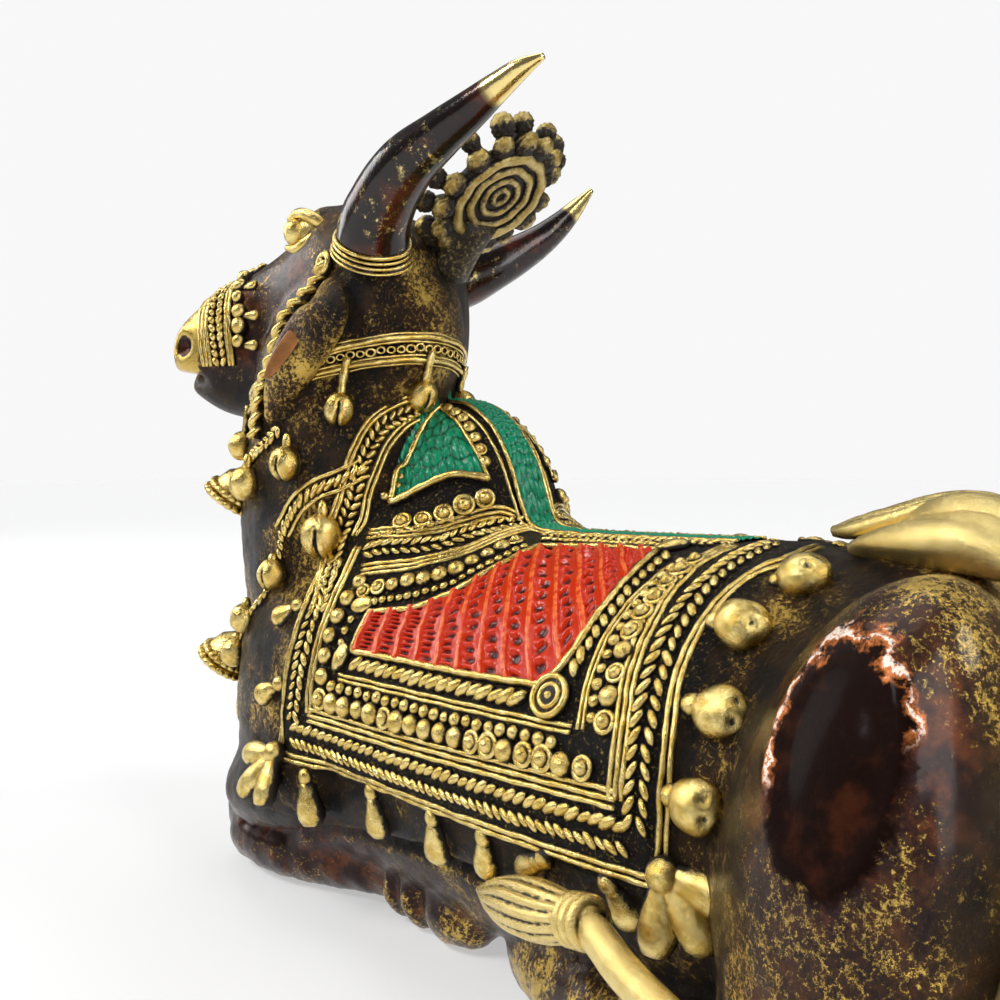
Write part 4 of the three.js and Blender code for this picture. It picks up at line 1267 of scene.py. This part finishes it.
def halter(heap, tree, side):
    """A rope of two strands down the cheek, bound with a fine wire, from a ring at the horn."""
    places = [
        on_face(10.5, side, 117.5, 0.6), on_face(14, side, 111, 0.7), beside(side, 82, 107, 1.5),
        beside(side, 87, 102, 1.3), beside(side, 85, 91.7, 0.8), beside(side, 85, 84, 0.4),
    ]
    line = draped_line(tree, places, side)
    distances = np.linspace(0, line.length, int(line.length / 0.3))
    b = round_angles(STRAND_SIDES)[:, None]
    for strand in (0, 1):
        turns = 2 * math.pi * distances / HALTER_TWIST + strand * math.pi
        rings = []
        for distance, a in zip(distances, turns):
            p, _, across, out = line.at(distance, 0.62 * math.cos(a), 1.0 + 0.62 * math.sin(a))
            rings.append(p + 0.92 * (across * np.cos(b) + out * np.sin(b)))
        rise = np.repeat(0.6 + 0.4 * np.sin(turns), STRAND_SIDES)
        heap.add(loft(rings), [*rise, 0.5, 0.5])
    for distance in line.spread(1.0):
        heap.put(GRAIN, turned(line.at(distance, 0, 1.55), -55), np.array([1.35, 0.24, 0.3]), 0.95)
    heap.put(doughnut(1.7, 0.8, 20, 8), line.at(0.5, lift=1.0))


def noseband(heap, tree):
    """Threads, two rows of grains and knobs over the muzzle, ending at the jaw."""
    def loop(ahead, end=108):
        places = []
        for a in np.radians(np.linspace(-end, end, 25)):
            here = ahead - 4.5 * (1 - math.cos(a)) / 2
            half, top, bottom, _ = head_rows(here)
            up = (top + bottom) / 2 + (top - bottom) / 2 * math.cos(a)
            places.append(on_head(here, half * math.sin(a), up))
        return draped_line(tree, places)

    for ahead in (48.2, 47.2, 46.2, 41.4, 40.5):
        thread(heap, loop(ahead), 0.48, lift=0.25)
    for ahead, slant in ((44.8, 28), (42.8, -28)):
        grains(heap, loop(ahead), 1.8, 2.4, 1.5, slant, height=1.0)
    knob_row = loop(38.4, end=96)
    for n, distance in enumerate(knob_row.spread(3.3)):
        place = knob_row.at(distance, random.uniform(-0.4, 0.4), 0.3)
        heap.put(FINE_BALL, place, np.array([1.7, 1.4 + 0.3 * (n % 2), 1.5]) * random.uniform(0.85, 1.15))
        if n % 2:
            drop(heap, turned(knob_row.at(distance + 1.2, 1.4, 0.2), 80), 3.6, 1.2)


# Ahead of the ball, above it and outward
UPPER_LID = [(2.2, 3.0, -0.4), (-0.6, 3.7, 0.6), (-3.6, 2.6, 1.3), (-6.4, 0.9, 1.1), (-8.2, -0.2, 0.4)]
LOWER_LID = [(2.6, -2.6, -0.2), (-0.2, -3.5, 0.8), (-3.0, -2.7, 1.5), (-6.0, -1.0, 1.2), (-8.2, -0.2, 0.4)]
LID_WIDTHS = (0.6, 1.1, 1.3, 1.0, 0.3)


def eyes(heap, side):
    """A gold ball before a swollen almond, between lids that run back to a point."""
    out = unit(ASIDE * side + 0.15 * UP)
    ball = on_face(22.2, side, 125.6, 1.0)
    basis = (ball, AHEAD, UP, out)
    heap.put(shaped(FINE_BALL, (2.5, 2.8, 2.3), (0.3, 0, 0.2)), basis, rise=0.95)
    heap.put(shaped(FINE_BALL, (5.4, 3.4, 2.6), (-2.9, 0, -1.0)), basis, rise=0.55)
    for lid in (UPPER_LID, LOWER_LID):
        rows = [(*(ball + AHEAD * a + UP * u + out * o), w, w) for (a, u, o), w in zip(lid, LID_WIDTHS)]
        heap.add(tube(rows, out, 24, 12), 0.95)


def ear_leaf(material, tree, side):
    """The flat leaf-shaped hollow of the ear, lacquered orange-brown."""
    places = [beside(side, 110, 106, 5), beside(side, 106, 101, 5), beside(side, 100, 95, 4)]
    line = draped_line(tree, places, side)
    heap = Heap()
    heap.put(FINE_BALL, line.at(line.length / 2, lift=0.25), np.array([line.length * 0.5, 1.7, 0.35]))
    heap.make(side_name("ear_leaf", side), material, "patinated_brass")


# Tail

# Over the rump: forward, degrees from straight up, height over the skin and radius
TAIL_OVER = [
    (-63, 4, -2.6, 1.2), (-67, 4.5, -0.8, 3.6), (-73, 5.5, 0.8, 5.8), (-81, 10, 1.5, 5.5),
    (-88, 22, 1.5, 4.4),
]
TAIL_ROUND = [
    (-91.6, 24, 58, 3.6), (-94.2, 31, 49, 3.1), (-95, 36, 40, 2.8), (-94.2, 41, 31, 2.6),
    (-91.2, 46.6, 25.5, 2.4), (-83, 51.3, 22.5, 2.3), (-74, 51.6, 22, 2.2), (-65, 48.6, 22.6, 2.1),
    (-54.5, 45.4, 23.8, 2.1), (-49, 43.4, 25, 2.1), (-45, 42.4, 25.2, 2.1),
]
TUFT_RING = np.array([-46.5, 42.7, 25.3])
TUFT_MIDDLE = np.array([-36, 40.6, 22.8])
TUFT = [
    (*TUFT_RING, 2.3, 2.3), (-44, 42.2, 24.6, 2.9, 2.9), (*TUFT_MIDDLE, 3.8, 3.7),
    (-28.5, 38.6, 21, 2.9, 2.8), (-21.5, 36.6, 19.6, 0.5, 0.5),
]
TUFT_COUNT = 60
LEAF_MIDDLE = 0.9  # left of the spine
SLIM_LOBE = [
    (-56.2, 1.5, 69.9, 0.8, 0.7), (-58.6, 1.6, 70.3, 2.4, 1.3), (-65, 0.8, 72, 3.6, 1.8),
    (-71, 0.4, 73.8, 3.5, 1.8), (-77, 0.4, 74.1, 2.4, 1.4), (-81, 0.5, 72.6, 0.6, 0.6),
]
# Forward, out from the leaf's middle, up, radius
LOBE_RIM = [
    (-56.4, 0.8, 70, 0.7), (-59.5, 2.9, 70.2, 0.95), (-66, 3.6, 72, 1.0), (-72, 3.2, 73.9, 1.0),
    (-78, 1.6, 74.4, 0.7),
]
# The same with a half-width and a half-height: the front tip of a broad lobe, then the lobe itself
BROAD_TIP = (-60.5, 3.6, 68.0, 1.0, 0.8)
BROAD_LOBE = [
    (-65, 5.4, 68.8, 4, 1.8), (-72, 7, 69.6, 6.0, 3.2), (-80, 8, 69.4, 6.2, 3.6), (-86, 9, 66.5, 4, 2.4),
]
RIGHT_LOBE_SHARE = 0.75  # of the left one's width


def tail(heap):
    rows = []
    for f, degrees, lift, radius in TAIL_OVER:
        a = math.radians(degrees)
        rows.append((*out_from_axis(f, a, float(reach(f, a)[0]) + lift), radius))
    heap.add(tube(rows + TAIL_ROUND, UP, 150, 22), 0.95)
    tail_leaf(heap)
    tuft(heap)
    axis = unit(TUFT_MIDDLE - TUFT_RING)
    heap.put(FINE_BALL, (TUFT_RING, axis, np.cross(UP, axis), UP), 2.6)
    for ahead in (-1.4, 0.2, 1.6):
        ring_round(heap, TUFT_RING + axis * ahead, axis, 2.5, 0.75)


def tuft(heap):
    """The tail's tuft, with twisted grooves between its locks."""
    points, faces = tube(TUFT, UP, TUFT_COUNT, TUFT_COUNT)
    line = spline(TUFT, TUFT_COUNT)[:, :3]
    centre = np.concatenate([np.repeat(line, TUFT_COUNT, axis=0), line[:1], line[-1:]])
    around = np.concatenate([np.tile(round_angles(TUFT_COUNT), TUFT_COUNT), [0, 0]])
    along = np.concatenate([np.repeat(np.linspace(0, 1, TUFT_COUNT), TUFT_COUNT), [0, 1]])
    groove = 0.5 + 0.5 * np.cos(13 * around + 6 * along + 1.4 * np.sin(7 * along))
    groove = groove ** 2 * step(along, 0.02, 0.15) * step(along, 1, 0.7)
    heap.add((centre + (points - centre) * (1 - 0.14 * groove)[:, None], faces), 1 - 0.7 * groove)


def tail_leaf(heap):
    """Lobes over the tail's root: a slim one with veins and a raised rim, and a broad one on either side."""
    points, faces = tube(SLIM_LOBE, LEFT, 60, 40)
    veins = 0.5 + 0.5 * np.sin(points[:, 1] * 4.5 + 0.25 * points[:, 0])
    points[:, 2] -= 0.25 * veins
    heap.add((points, faces), 1 - 0.5 * veins)
    for side, share in ((1, 1.0), (-1, RIGHT_LOBE_SHARE)):
        lobe = [(f, out * share, up, half * share, high) for f, out, up, half, high in BROAD_LOBE]
        rim, broad = [
            [(f, LEAF_MIDDLE + side * out, *rest) for f, out, *rest in rows]
            for rows in (LOBE_RIM, [BROAD_TIP, *lobe])
        ]
        heap.add(tube(rim, UP, 40, 12), 0.95)
        points, faces = tube(broad, LEFT, 60, 40)
        points[:, 2] += 0.3 * np.sin(points[:, 1] * 1.1 + points[:, 0] * 0.35)
        heap.add((points, faces), 0.1 + 0.9 * step((points[:, 1] - LEAF_MIDDLE) * side, 2.9, 4.4))


# Materials

BLACK = (0.006, 0.005, 0.005, 1)
UMBER = (0.026, 0.014, 0.006, 1)
MAROON = (0.016, 0.003, 0.002, 1)
RUSSET = (0.14, 0.036, 0.008, 1)
RUBBED = (0.075, 0.03, 0.009, 1)
# Painted highlight: a copper band along the upper edge of each thigh's dark flat
PAINTED_HIGHLIGHT_COPPER = (0.62, 0.19, 0.05, 1)
THIGH_BLACK = (0.007, 0.0015, 0.0005, 1)
THIGH_BROWN = (0.045, 0.011, 0.003, 1)
# Painted highlight: a thin white glint on the same edge
PAINTED_GLINT_WHITE = (1.0, 0.84, 0.72, 1)
GOLD = (0.64, 0.44, 0.10, 1)
PALE_GOLD = (0.90, 0.71, 0.28, 1)
PIT_BROWN = (0.16, 0.09, 0.025, 1)
DULL_BROWN = (0.10, 0.075, 0.045, 1)
RECESS = (0.018, 0.012, 0.008, 1)
HORN_DARK = (0.009, 0.004, 0.003, 1)
HORN_RED = (0.10, 0.018, 0.006, 1)
SOOT = (0.02, 0.006, 0.004, 1)
# Enamel tints as deep, main, and a pale one that paints highlights on the tops
RED_WITH_PAINTED_HIGHLIGHT = ((0.06, 0.002, 0.001, 1), (0.66, 0.030, 0.002, 1), (0.86, 0.16, 0.03, 1))
GREEN_WITH_PAINTED_HIGHLIGHT = ((0.001, 0.04, 0.02, 1), (0.004, 0.26, 0.125, 1), (0.05, 0.45, 0.27, 1))
EAR_ORANGE = (0.42, 0.17, 0.05, 1)
EAR_BROWN = (0.252, 0.102, 0.03, 1)


class Graph:
    """A material's nodes, made in the order that they feed each other."""

    def __init__(self, name):
        self.material = bpy.data.materials.new(name)
        self.material.use_nodes = True
        self.tree = self.material.node_tree
        self.tree.nodes.clear()
        here = self.node("ShaderNodeTexCoord", "Object")
        self.where = self.node("ShaderNodeMapping", Scale=(1000, 1000, 1000), Vector=here)

    def node(self, kind, output=0, settings=None, **inputs):
        node = self.tree.nodes.new(kind)
        for key, value in (settings or {}).items():
            setattr(node, key, value)
        for key, value in inputs.items():
            socket = node.inputs[int(key[1:])] if key[0] == "_" else node.inputs[key.replace("_", " ")]
            if isinstance(value, bpy.types.NodeSocket):
                self.tree.links.new(value, socket)
            else:
                socket.default_value = value
        return node.outputs[output]

    def noise(self, scale, detail, rough, low=None, high=None):
        """Cloudy values from 0 to 1, stretched between low and high if given. scale is in cells to the mm."""
        sizes = {"Scale": scale, "Detail": detail, "Roughness": rough}
        value = self.node("ShaderNodeTexNoise", "Fac", Vector=self.where, **sizes)
        return value if low is None else self.span(value, low, high)

    def span(self, value, low, high):
        settings = {"interpolation_type": "SMOOTHSTEP"}
        return self.node("ShaderNodeMapRange", 0, settings, Value=value, From_Min=low, From_Max=high)

    def value(self, name):
        return self.node("ShaderNodeAttribute", "Fac", {"attribute_name": name})

    def sum(self, operation, a, b):
        """A sum of two numbers, held between 0 and 1 unless it is a difference."""
        settings = {"operation": operation, "use_clamp": operation != "SUBTRACT"}
        return self.node("ShaderNodeMath", 0, settings, _0=a, _1=b)

    def free(self, operation, a, b):
        """A sum of two numbers that may leave the range from 0 to 1."""
        return self.node("ShaderNodeMath", 0, {"operation": operation}, _0=a, _1=b)

    def times(self, *values):
        """Two or more numbers multiplied together."""
        first, *others = values
        for value in others:
            first = self.sum("MULTIPLY", first, value)
        return first

    def inverse(self, value):
        return self.sum("SUBTRACT", 1.0, value)

    def apart(self, a, b):
        """How far two numbers are from each other."""
        return self.node("ShaderNodeMath", 0, {"operation": "ABSOLUTE"}, _0=self.sum("SUBTRACT", a, b))

    def blend(self, fac, a, b):
        return self.node("ShaderNodeMix", 2, {"data_type": "RGBA"}, _0=fac, _6=a, _7=b)

    def blend_number(self, fac, a, b):
        return self.node("ShaderNodeMix", 0, {"data_type": "FLOAT"}, _0=fac, _2=a, _3=b)

    def vector(self, operation, a, b=(0, 0, 0)):
        return self.node("ShaderNodeVectorMath", 0, {"operation": operation}, _0=a, _1=b)

    def part(self, axis, vector):
        return self.node("ShaderNodeSeparateXYZ", axis, Vector=vector)

    def bump(self, height, distance, strength):
        return self.node("ShaderNodeBump", Height=height, Distance=distance * MM, Strength=strength)

    def surface(self, shader):
        """The finished material, with this shader on its surface."""
        out = self.tree.nodes.new("ShaderNodeOutputMaterial")
        self.tree.links.new(shader, out.inputs["Surface"])
        return self.material

    def finish(self, **inputs):
        return self.surface(self.node("ShaderNodeBsdfPrincipled", **inputs))


def thigh_marks(g):
    """The dark flat of either thigh, the upper side of its uneven edge, where a highlight is painted, and how
    near that edge is.
    """
    back, out, up = THIGH_MIDDLE
    away = g.vector("ABSOLUTE", g.vector("ADD", g.where, (-SHIFT_LEFT, -SHIFT_BACK, 0)))
    away = g.vector("SUBTRACT", away, (out, back, up))
    across = g.vector("DIVIDE", away, (THIGH_SIZE[1], THIGH_SIZE[0], THIGH_SIZE[2]))
    share = g.node("ShaderNodeVectorMath", 1, {"operation": "LENGTH"}, _0=across)
    share = g.sum("SUBTRACT", share, g.times(g.noise(0.3, 5, 0.62), 0.7))
    # The upper side of the flat's edge, where the highlight is painted
    slant = g.vector("MULTIPLY", away, (1, 0.5, 1))
    upper = g.span(g.sum("SUBTRACT", g.part("Z", slant), g.part("Y", slant)), -1.5, 1.5)
    return g.span(share, 0.76, 0.58), upper, g.apart(share, 0.66)


def worn_gold(g, grain, clean_and_unshaded):
    """Where gold shows, as rubbed tops, flecks in patches and fine veins, and the value that drives it."""
    patch = g.free("MULTIPLY", g.sum("SUBTRACT", g.noise(0.07, 4, 0.6), 0.52), 0.95)
    drive = g.sum("SUBTRACT", grain, g.sum("SUBTRACT", 0.16, g.times(g.value("gold"), 0.26)))
    drive = g.free("ADD", drive, patch)
    crinkle = g.apart(g.noise(0.42, 7, 0.68), 0.5)
    veins = g.times(g.span(crinkle, 0.02, 0.006), g.span(drive, 0.40, 0.52), 0.8)
    return g.times(g.sum("MAXIMUM", g.span(drive, 0.56, 0.61), veins), clean_and_unshaded), drive


def patina():
    """Near-black brown with its tops rubbed to gold, red-brown lacquer, and the dark flats of the thighs,
    with a painted copper-and-white highlight on their upper edges. Black where the ground is dirty, and
    painted shade along the knee creases.
    """
    g = Graph("patinated_brass")
    lacquer, dirt_and_crease_shade = g.value("lacquer"), g.value("dirt_and_crease_shade")
    clean_and_unshaded = g.inverse(dirt_and_crease_shade)
    grain = g.noise(1.5, 8, 0.78)
    core, upper, off_edge = thigh_marks(g)
    bright, drive = worn_gold(g, grain, clean_and_unshaded)
    speck = g.times(g.noise(2.2, 5, 0.75, 0.58, 0.66), g.times(dirt_and_crease_shade, 0.75))
    bright = g.times(g.sum("MAXIMUM", bright, speck), g.inverse(core))
    # Painted highlight along the upper edge of the thigh's flat, broken by noise: a thin white glint inside a
    # wider copper band
    painted_highlight_band = g.times(upper, g.noise(0.45, 5, 0.7, 0.42, 0.55))
    painted_glint = g.times(painted_highlight_band, g.span(off_edge, 0.04, 0.015))
    dark = g.blend(g.noise(0.22, 4, 0.6, 0.42, 0.62), BLACK, UMBER)
    red = g.blend(g.noise(0.2, 5, 0.65, 0.45, 0.7), MAROON, RUSSET)
    thigh = g.blend(g.noise(0.16, 4, 0.6, 0.5, 0.75), THIGH_BLACK, THIGH_BROWN)
    warm = g.times(g.span(drive, 0.40, 0.56), g.times(clean_and_unshaded, 0.85))
    ground = g.blend(core, g.blend(warm, g.blend(lacquer, dark, red), RUBBED), thigh)
    # Black where the ground is dirty, and painted shade along the knee creases
    colour = g.blend(bright, g.blend(dirt_and_crease_shade, ground, BLACK), GOLD)
    # The copper band of the painted highlight
    colour = g.blend(g.times(painted_highlight_band, g.span(off_edge, 0.12, 0.03)), colour, PAINTED_HIGHLIGHT_COPPER)
    metal = g.blend_number(bright, g.blend_number(lacquer, 0.6, 0.7), 1.0)
    rough = g.blend_number(lacquer, g.blend_number(g.noise(0.6, 4, 0.6), 0.24, 0.4), 0.22)
    relief = g.times(grain, g.inverse(g.times(lacquer, 0.8)))
    return g.finish(
        # The white glint of the painted highlight, barely metallic
        Base_Color=g.blend(painted_glint, colour, PAINTED_GLINT_WHITE),
        Metallic=g.blend_number(painted_glint, metal, 0.2),
        Roughness=g.blend_number(g.sum("MAXIMUM", dirt_and_crease_shade, core), rough, 0.5),
        Normal=g.bump(relief, 0.5, 0.9),
        Coat_Weight=g.times(lacquer, clean_and_unshaded, g.blend_number(core, 0.25, 0.05)),
        Coat_Roughness=0.15,
        Specular_IOR_Level=g.blend_number(core, 0.32, 0.1),
    )


def lacquered_horn():
    """Dark red-brown gloss with gold worn through in flecks, and polished tips."""
    g = Graph("lacquered_horn")
    colour = g.blend(g.noise(0.13, 5, 0.65, 0.48, 0.75), HORN_DARK, HORN_RED)
    fleck = g.times(g.noise(0.5, 7, 0.85, 0.55, 0.61), g.noise(0.1, 3, 0.6, 0.46, 0.58), 0.9)
    bright = g.sum("MAXIMUM", fleck, g.value("gold"))
    return g.finish(
        Base_Color=g.blend(bright, colour, PALE_GOLD),
        Metallic=g.blend_number(bright, 0.4, 1.0),
        Roughness=0.2,
        Normal=g.bump(g.noise(0.45, 4, 0.6), 0.2, 0.6),
        Coat_Weight=0.3,
        Coat_Roughness=0.08,
    )


def polished(name, dull=0.0, pale=0.0):
    """Relief rubbed bright on its tops and dark with patina in its recesses. With pale, the gold is a lighter
    copy of itself, a painted reflection of bright surroundings.
    """
    g = Graph(name)
    edge = g.sum("ADD", g.value("rise"), g.sum("SUBTRACT", g.noise(1.1, 4, 0.7), 0.58))
    bright = g.span(edge, 0.25, 0.6)
    # pale moves the gold towards PALE_GOLD, a painted reflection
    base = tuple(a + (b - a) * pale for a, b in zip(GOLD, PALE_GOLD))
    tone = g.blend(g.noise(0.5, 4, 0.65, 0.35, 0.65), base, PALE_GOLD)
    tone = g.blend(g.times(g.noise(0.75, 7, 0.85, 0.57, 0.68), 0.7 - 0.5 * pale), tone, PIT_BROWN)
    if dull:
        tone = g.blend(dull, tone, DULL_BROWN)
    return g.finish(
        Base_Color=g.blend(bright, RECESS, tone),
        Metallic=g.blend_number(bright, 0.4, 1.0 - 0.3 * pale),
        Roughness=g.blend_number(bright, 0.5, 0.17 + 0.3 * dull + 0.15 * pale),
        Normal=g.bump(g.noise(1.3, 6, 0.75), 0.2 + 0.2 * dull, 0.75),
    )


def enamel(name, deep, main, light):
    """Glossy enamel, deeper in its furrows, with a highlight painted in pale patches on its tops."""
    g = Graph(name)
    rise = g.value("rise")
    colour = g.blend(g.span(rise, 0.0, 0.5), deep, main)
    # Painted highlight: the pale tint in patches on the tops
    colour = g.blend(g.times(g.span(rise, 0.8, 1.0), g.noise(0.8, 3, 0.6, 0.35, 0.6)), colour, light)
    soot = g.times(g.noise(0.9, 5, 0.7, 0.58, 0.7), g.inverse(rise))
    return g.finish(
        Base_Color=g.blend(soot, colour, SOOT),
        Metallic=0.0,
        Roughness=0.22,
        Normal=g.bump(g.noise(1.1, 4, 0.6), 0.15, 0.8),
        Coat_Weight=0.15,
        Coat_Roughness=0.05,
        Specular_IOR_Level=0.3,
    )


def ear_lacquer():
    g = Graph("ear_lacquer")
    cloud = g.blend(g.noise(0.5, 5, 0.7, 0.3, 0.7), EAR_ORANGE, EAR_BROWN)
    normal = g.bump(g.noise(1.5, 4, 0.7), 0.08, 0.6)
    return g.finish(Base_Color=cloud, Metallic=0.5, Roughness=0.35, Normal=normal)


# Camera, light and floor

CAMERA_PLACE = (-126.0, 130.0, 79.0)
CAMERA_TURN = math.radians(43)  # from straight ahead of the bull towards its right
HORIZON_ROW = 465  # of a picture 1000 high
FRAME_WIDTH_MM = 36.0
FLOOR_HALF = 6.0
WALL_RADIUS = 5.5
WALL_WHITE = (0.94, 0.94, 0.94, 1)
SKY_WHITE = (0.97, 0.98, 1.0, 1)
LIT_PLACE = Vector((0, 0, 0.06))


def add_camera():
    data = bpy.data.cameras.new("camera")
    data.sensor_width = FRAME_WIDTH_MM
    data.lens = FRAME_WIDTH_MM
    data.shift_y = (HORIZON_ROW - 500) / 1000
    data.clip_start = 0.005
    camera = linked("camera", data)
    camera.location = to_frame([CAMERA_PLACE])[0]
    look = Vector((-math.sin(CAMERA_TURN), -math.cos(CAMERA_TURN), 0))
    camera.rotation_euler = look.to_track_quat("-Z", "Y").to_euler()
    bpy.context.scene.camera = camera


def add_floor():
    material = Graph("studio_floor").finish(
        Base_Color=(0.5, 0.5, 0.5, 1), Roughness=0.9, Specular_IOR_Level=0.0,
        Emission_Color=(1, 1, 1, 1), Emission_Strength=0.465,
    )
    corners = [(FLOOR_HALF * x, FLOOR_HALF * y, 0) for x, y in ((-1, -1), (1, -1), (1, 1), (-1, 1))]
    floor = linked("studio_floor", mesh_of("studio_floor", corners, [(0, 1, 2, 3)], material))


def add_backdrop():
    """A pale wall all round the floor, which the lights and reflections pass through."""
    g = Graph("studio_wall")
    material = g.surface(g.node("ShaderNodeEmission", Color=WALL_WHITE))
    points, faces = sphere(48, 24)
    wall = linked("studio_wall", mesh_of("studio_wall", points * WALL_RADIUS, faces, material))
    wall.visible_diffuse = False
    wall.visible_glossy = False
    wall.visible_transmission = False
    wall.visible_shadow = False


def add_lamp(name, kind, place, target, strength):
    """A lamp at a place in metres ahead of the bull, to its left and up, turned towards one in the frame."""
    data = bpy.data.lights.new(name, kind)
    data.energy = strength
    lamp = linked(name, data)
    ahead, left, up = place
    lamp.location = (left, -ahead, up)
    lamp.rotation_euler = (target - lamp.location).to_track_quat("-Z", "Y").to_euler()
    return lamp


def add_softbox(name, place, width, height, strength):
    """A large lamp panel that the camera doesn't see."""
    lamp = add_lamp(name, "AREA", place, LIT_PLACE, strength)
    lamp.data.shape = "RECTANGLE"
    lamp.data.size = width
    lamp.data.size_y = height
    lamp.visible_camera = False


def add_sun(name, place, spread, strength):
    """A broad soft lamp, far away in a direction from the bull."""
    add_lamp(name, "SUN", place, Vector(), strength).data.angle = math.radians(spread)


def add_world():
    world = bpy.data.worlds.new("studio")
    world.use_nodes = True
    background = world.node_tree.nodes["Background"]
    background.inputs["Color"].default_value = SKY_WHITE
    background.inputs["Strength"].default_value = 0.15
    bpy.context.scene.world = world


add_camera()
add_world()
add_floor()
add_backdrop()
add_sun("key", (0.36, 0.76, 0.85), 18, 1.7)
add_sun("right", (-0.72, -0.5, 0.6), 16, 0.7)
add_sun("top", (0.25, -0.2, 1.0), 45, 0.9)
add_softbox("rear_panel", (-0.7, 0.06, 0.38), 0.16, 0.75, 2.2)
add_softbox("front_panel", (0.85, 0.3, 0.42), 0.4, 0.5, 2.6)
bpy.context.scene.view_settings.view_transform = "Standard"

# The casting

patina_look = patina()
horn_look = lacquered_horn()
gold_look = polished("polished_brass")
dull_look = polished("dull_brass", dull=0.4)
# The tail's brass is a paler copy of the polished brass, a painted reflection of bright surroundings
tail_painted_reflection_look = polished("tail_brass_painted_reflection", pale=0.6)
red_look = enamel("red_enamel", *RED_WITH_PAINTED_HIGHLIGHT)
green_look = enamel("green_enamel", *GREEN_WITH_PAINTED_HIGHLIGHT)
leaf_look = ear_lacquer()

trunk_points, trunk_faces = cast_trunk(patina_look)
head_points, head_faces = cast_head(patina_look)
trunk_tree = BVHTree.FromPolygons(trunk_points.tolist(), trunk_faces.tolist())
whole_points = np.concatenate([trunk_points, head_points])
whole_faces = np.concatenate([trunk_faces, head_faces + len(trunk_points)])
whole_tree = BVHTree.FromPolygons(whole_points.tolist(), whole_faces.tolist())

# Its ornament

cloth_relief, hanging, head_relief, crest_heap, neck_relief, tail_heap = [Heap() for _ in range(6)]
for side in SIDES:
    border(cloth_relief, trunk_tree, side)
    field(cloth_relief, trunk_tree, side)
    knobs(cloth_relief, trunk_tree, side)
    fringe(hanging, trunk_tree, side)
    red_panel(red_look, trunk_tree, side)
    green_triangle(green_look, trunk_tree, side)
green_stripe(green_look, trunk_tree)
cloth_relief.make("cloth_relief", gold_look)
hanging.make("cloth_fringe", gold_look)

horn("horn_left", HORN_LEFT, horn_look, head_relief)
horn("horn_right", HORN_RIGHT, horn_look, head_relief)
noseband(head_relief, whole_tree)
for side in SIDES:
    halter(head_relief, whole_tree, side)
    eyes(head_relief, side)
    ear_leaf(leaf_look, whole_tree, side)
head_relief.make("head_relief", gold_look)
crest(crest_heap)
crest_heap.make("crest_disc", dull_look)
collar(neck_relief, whole_tree)
necklaces(neck_relief, whole_tree)
neck_relief.make("collar_and_necklaces", gold_look)
tail(tail_heap)
tail_heap.make("tail", tail_painted_reflection_look)

bpy.context.view_layer.update()
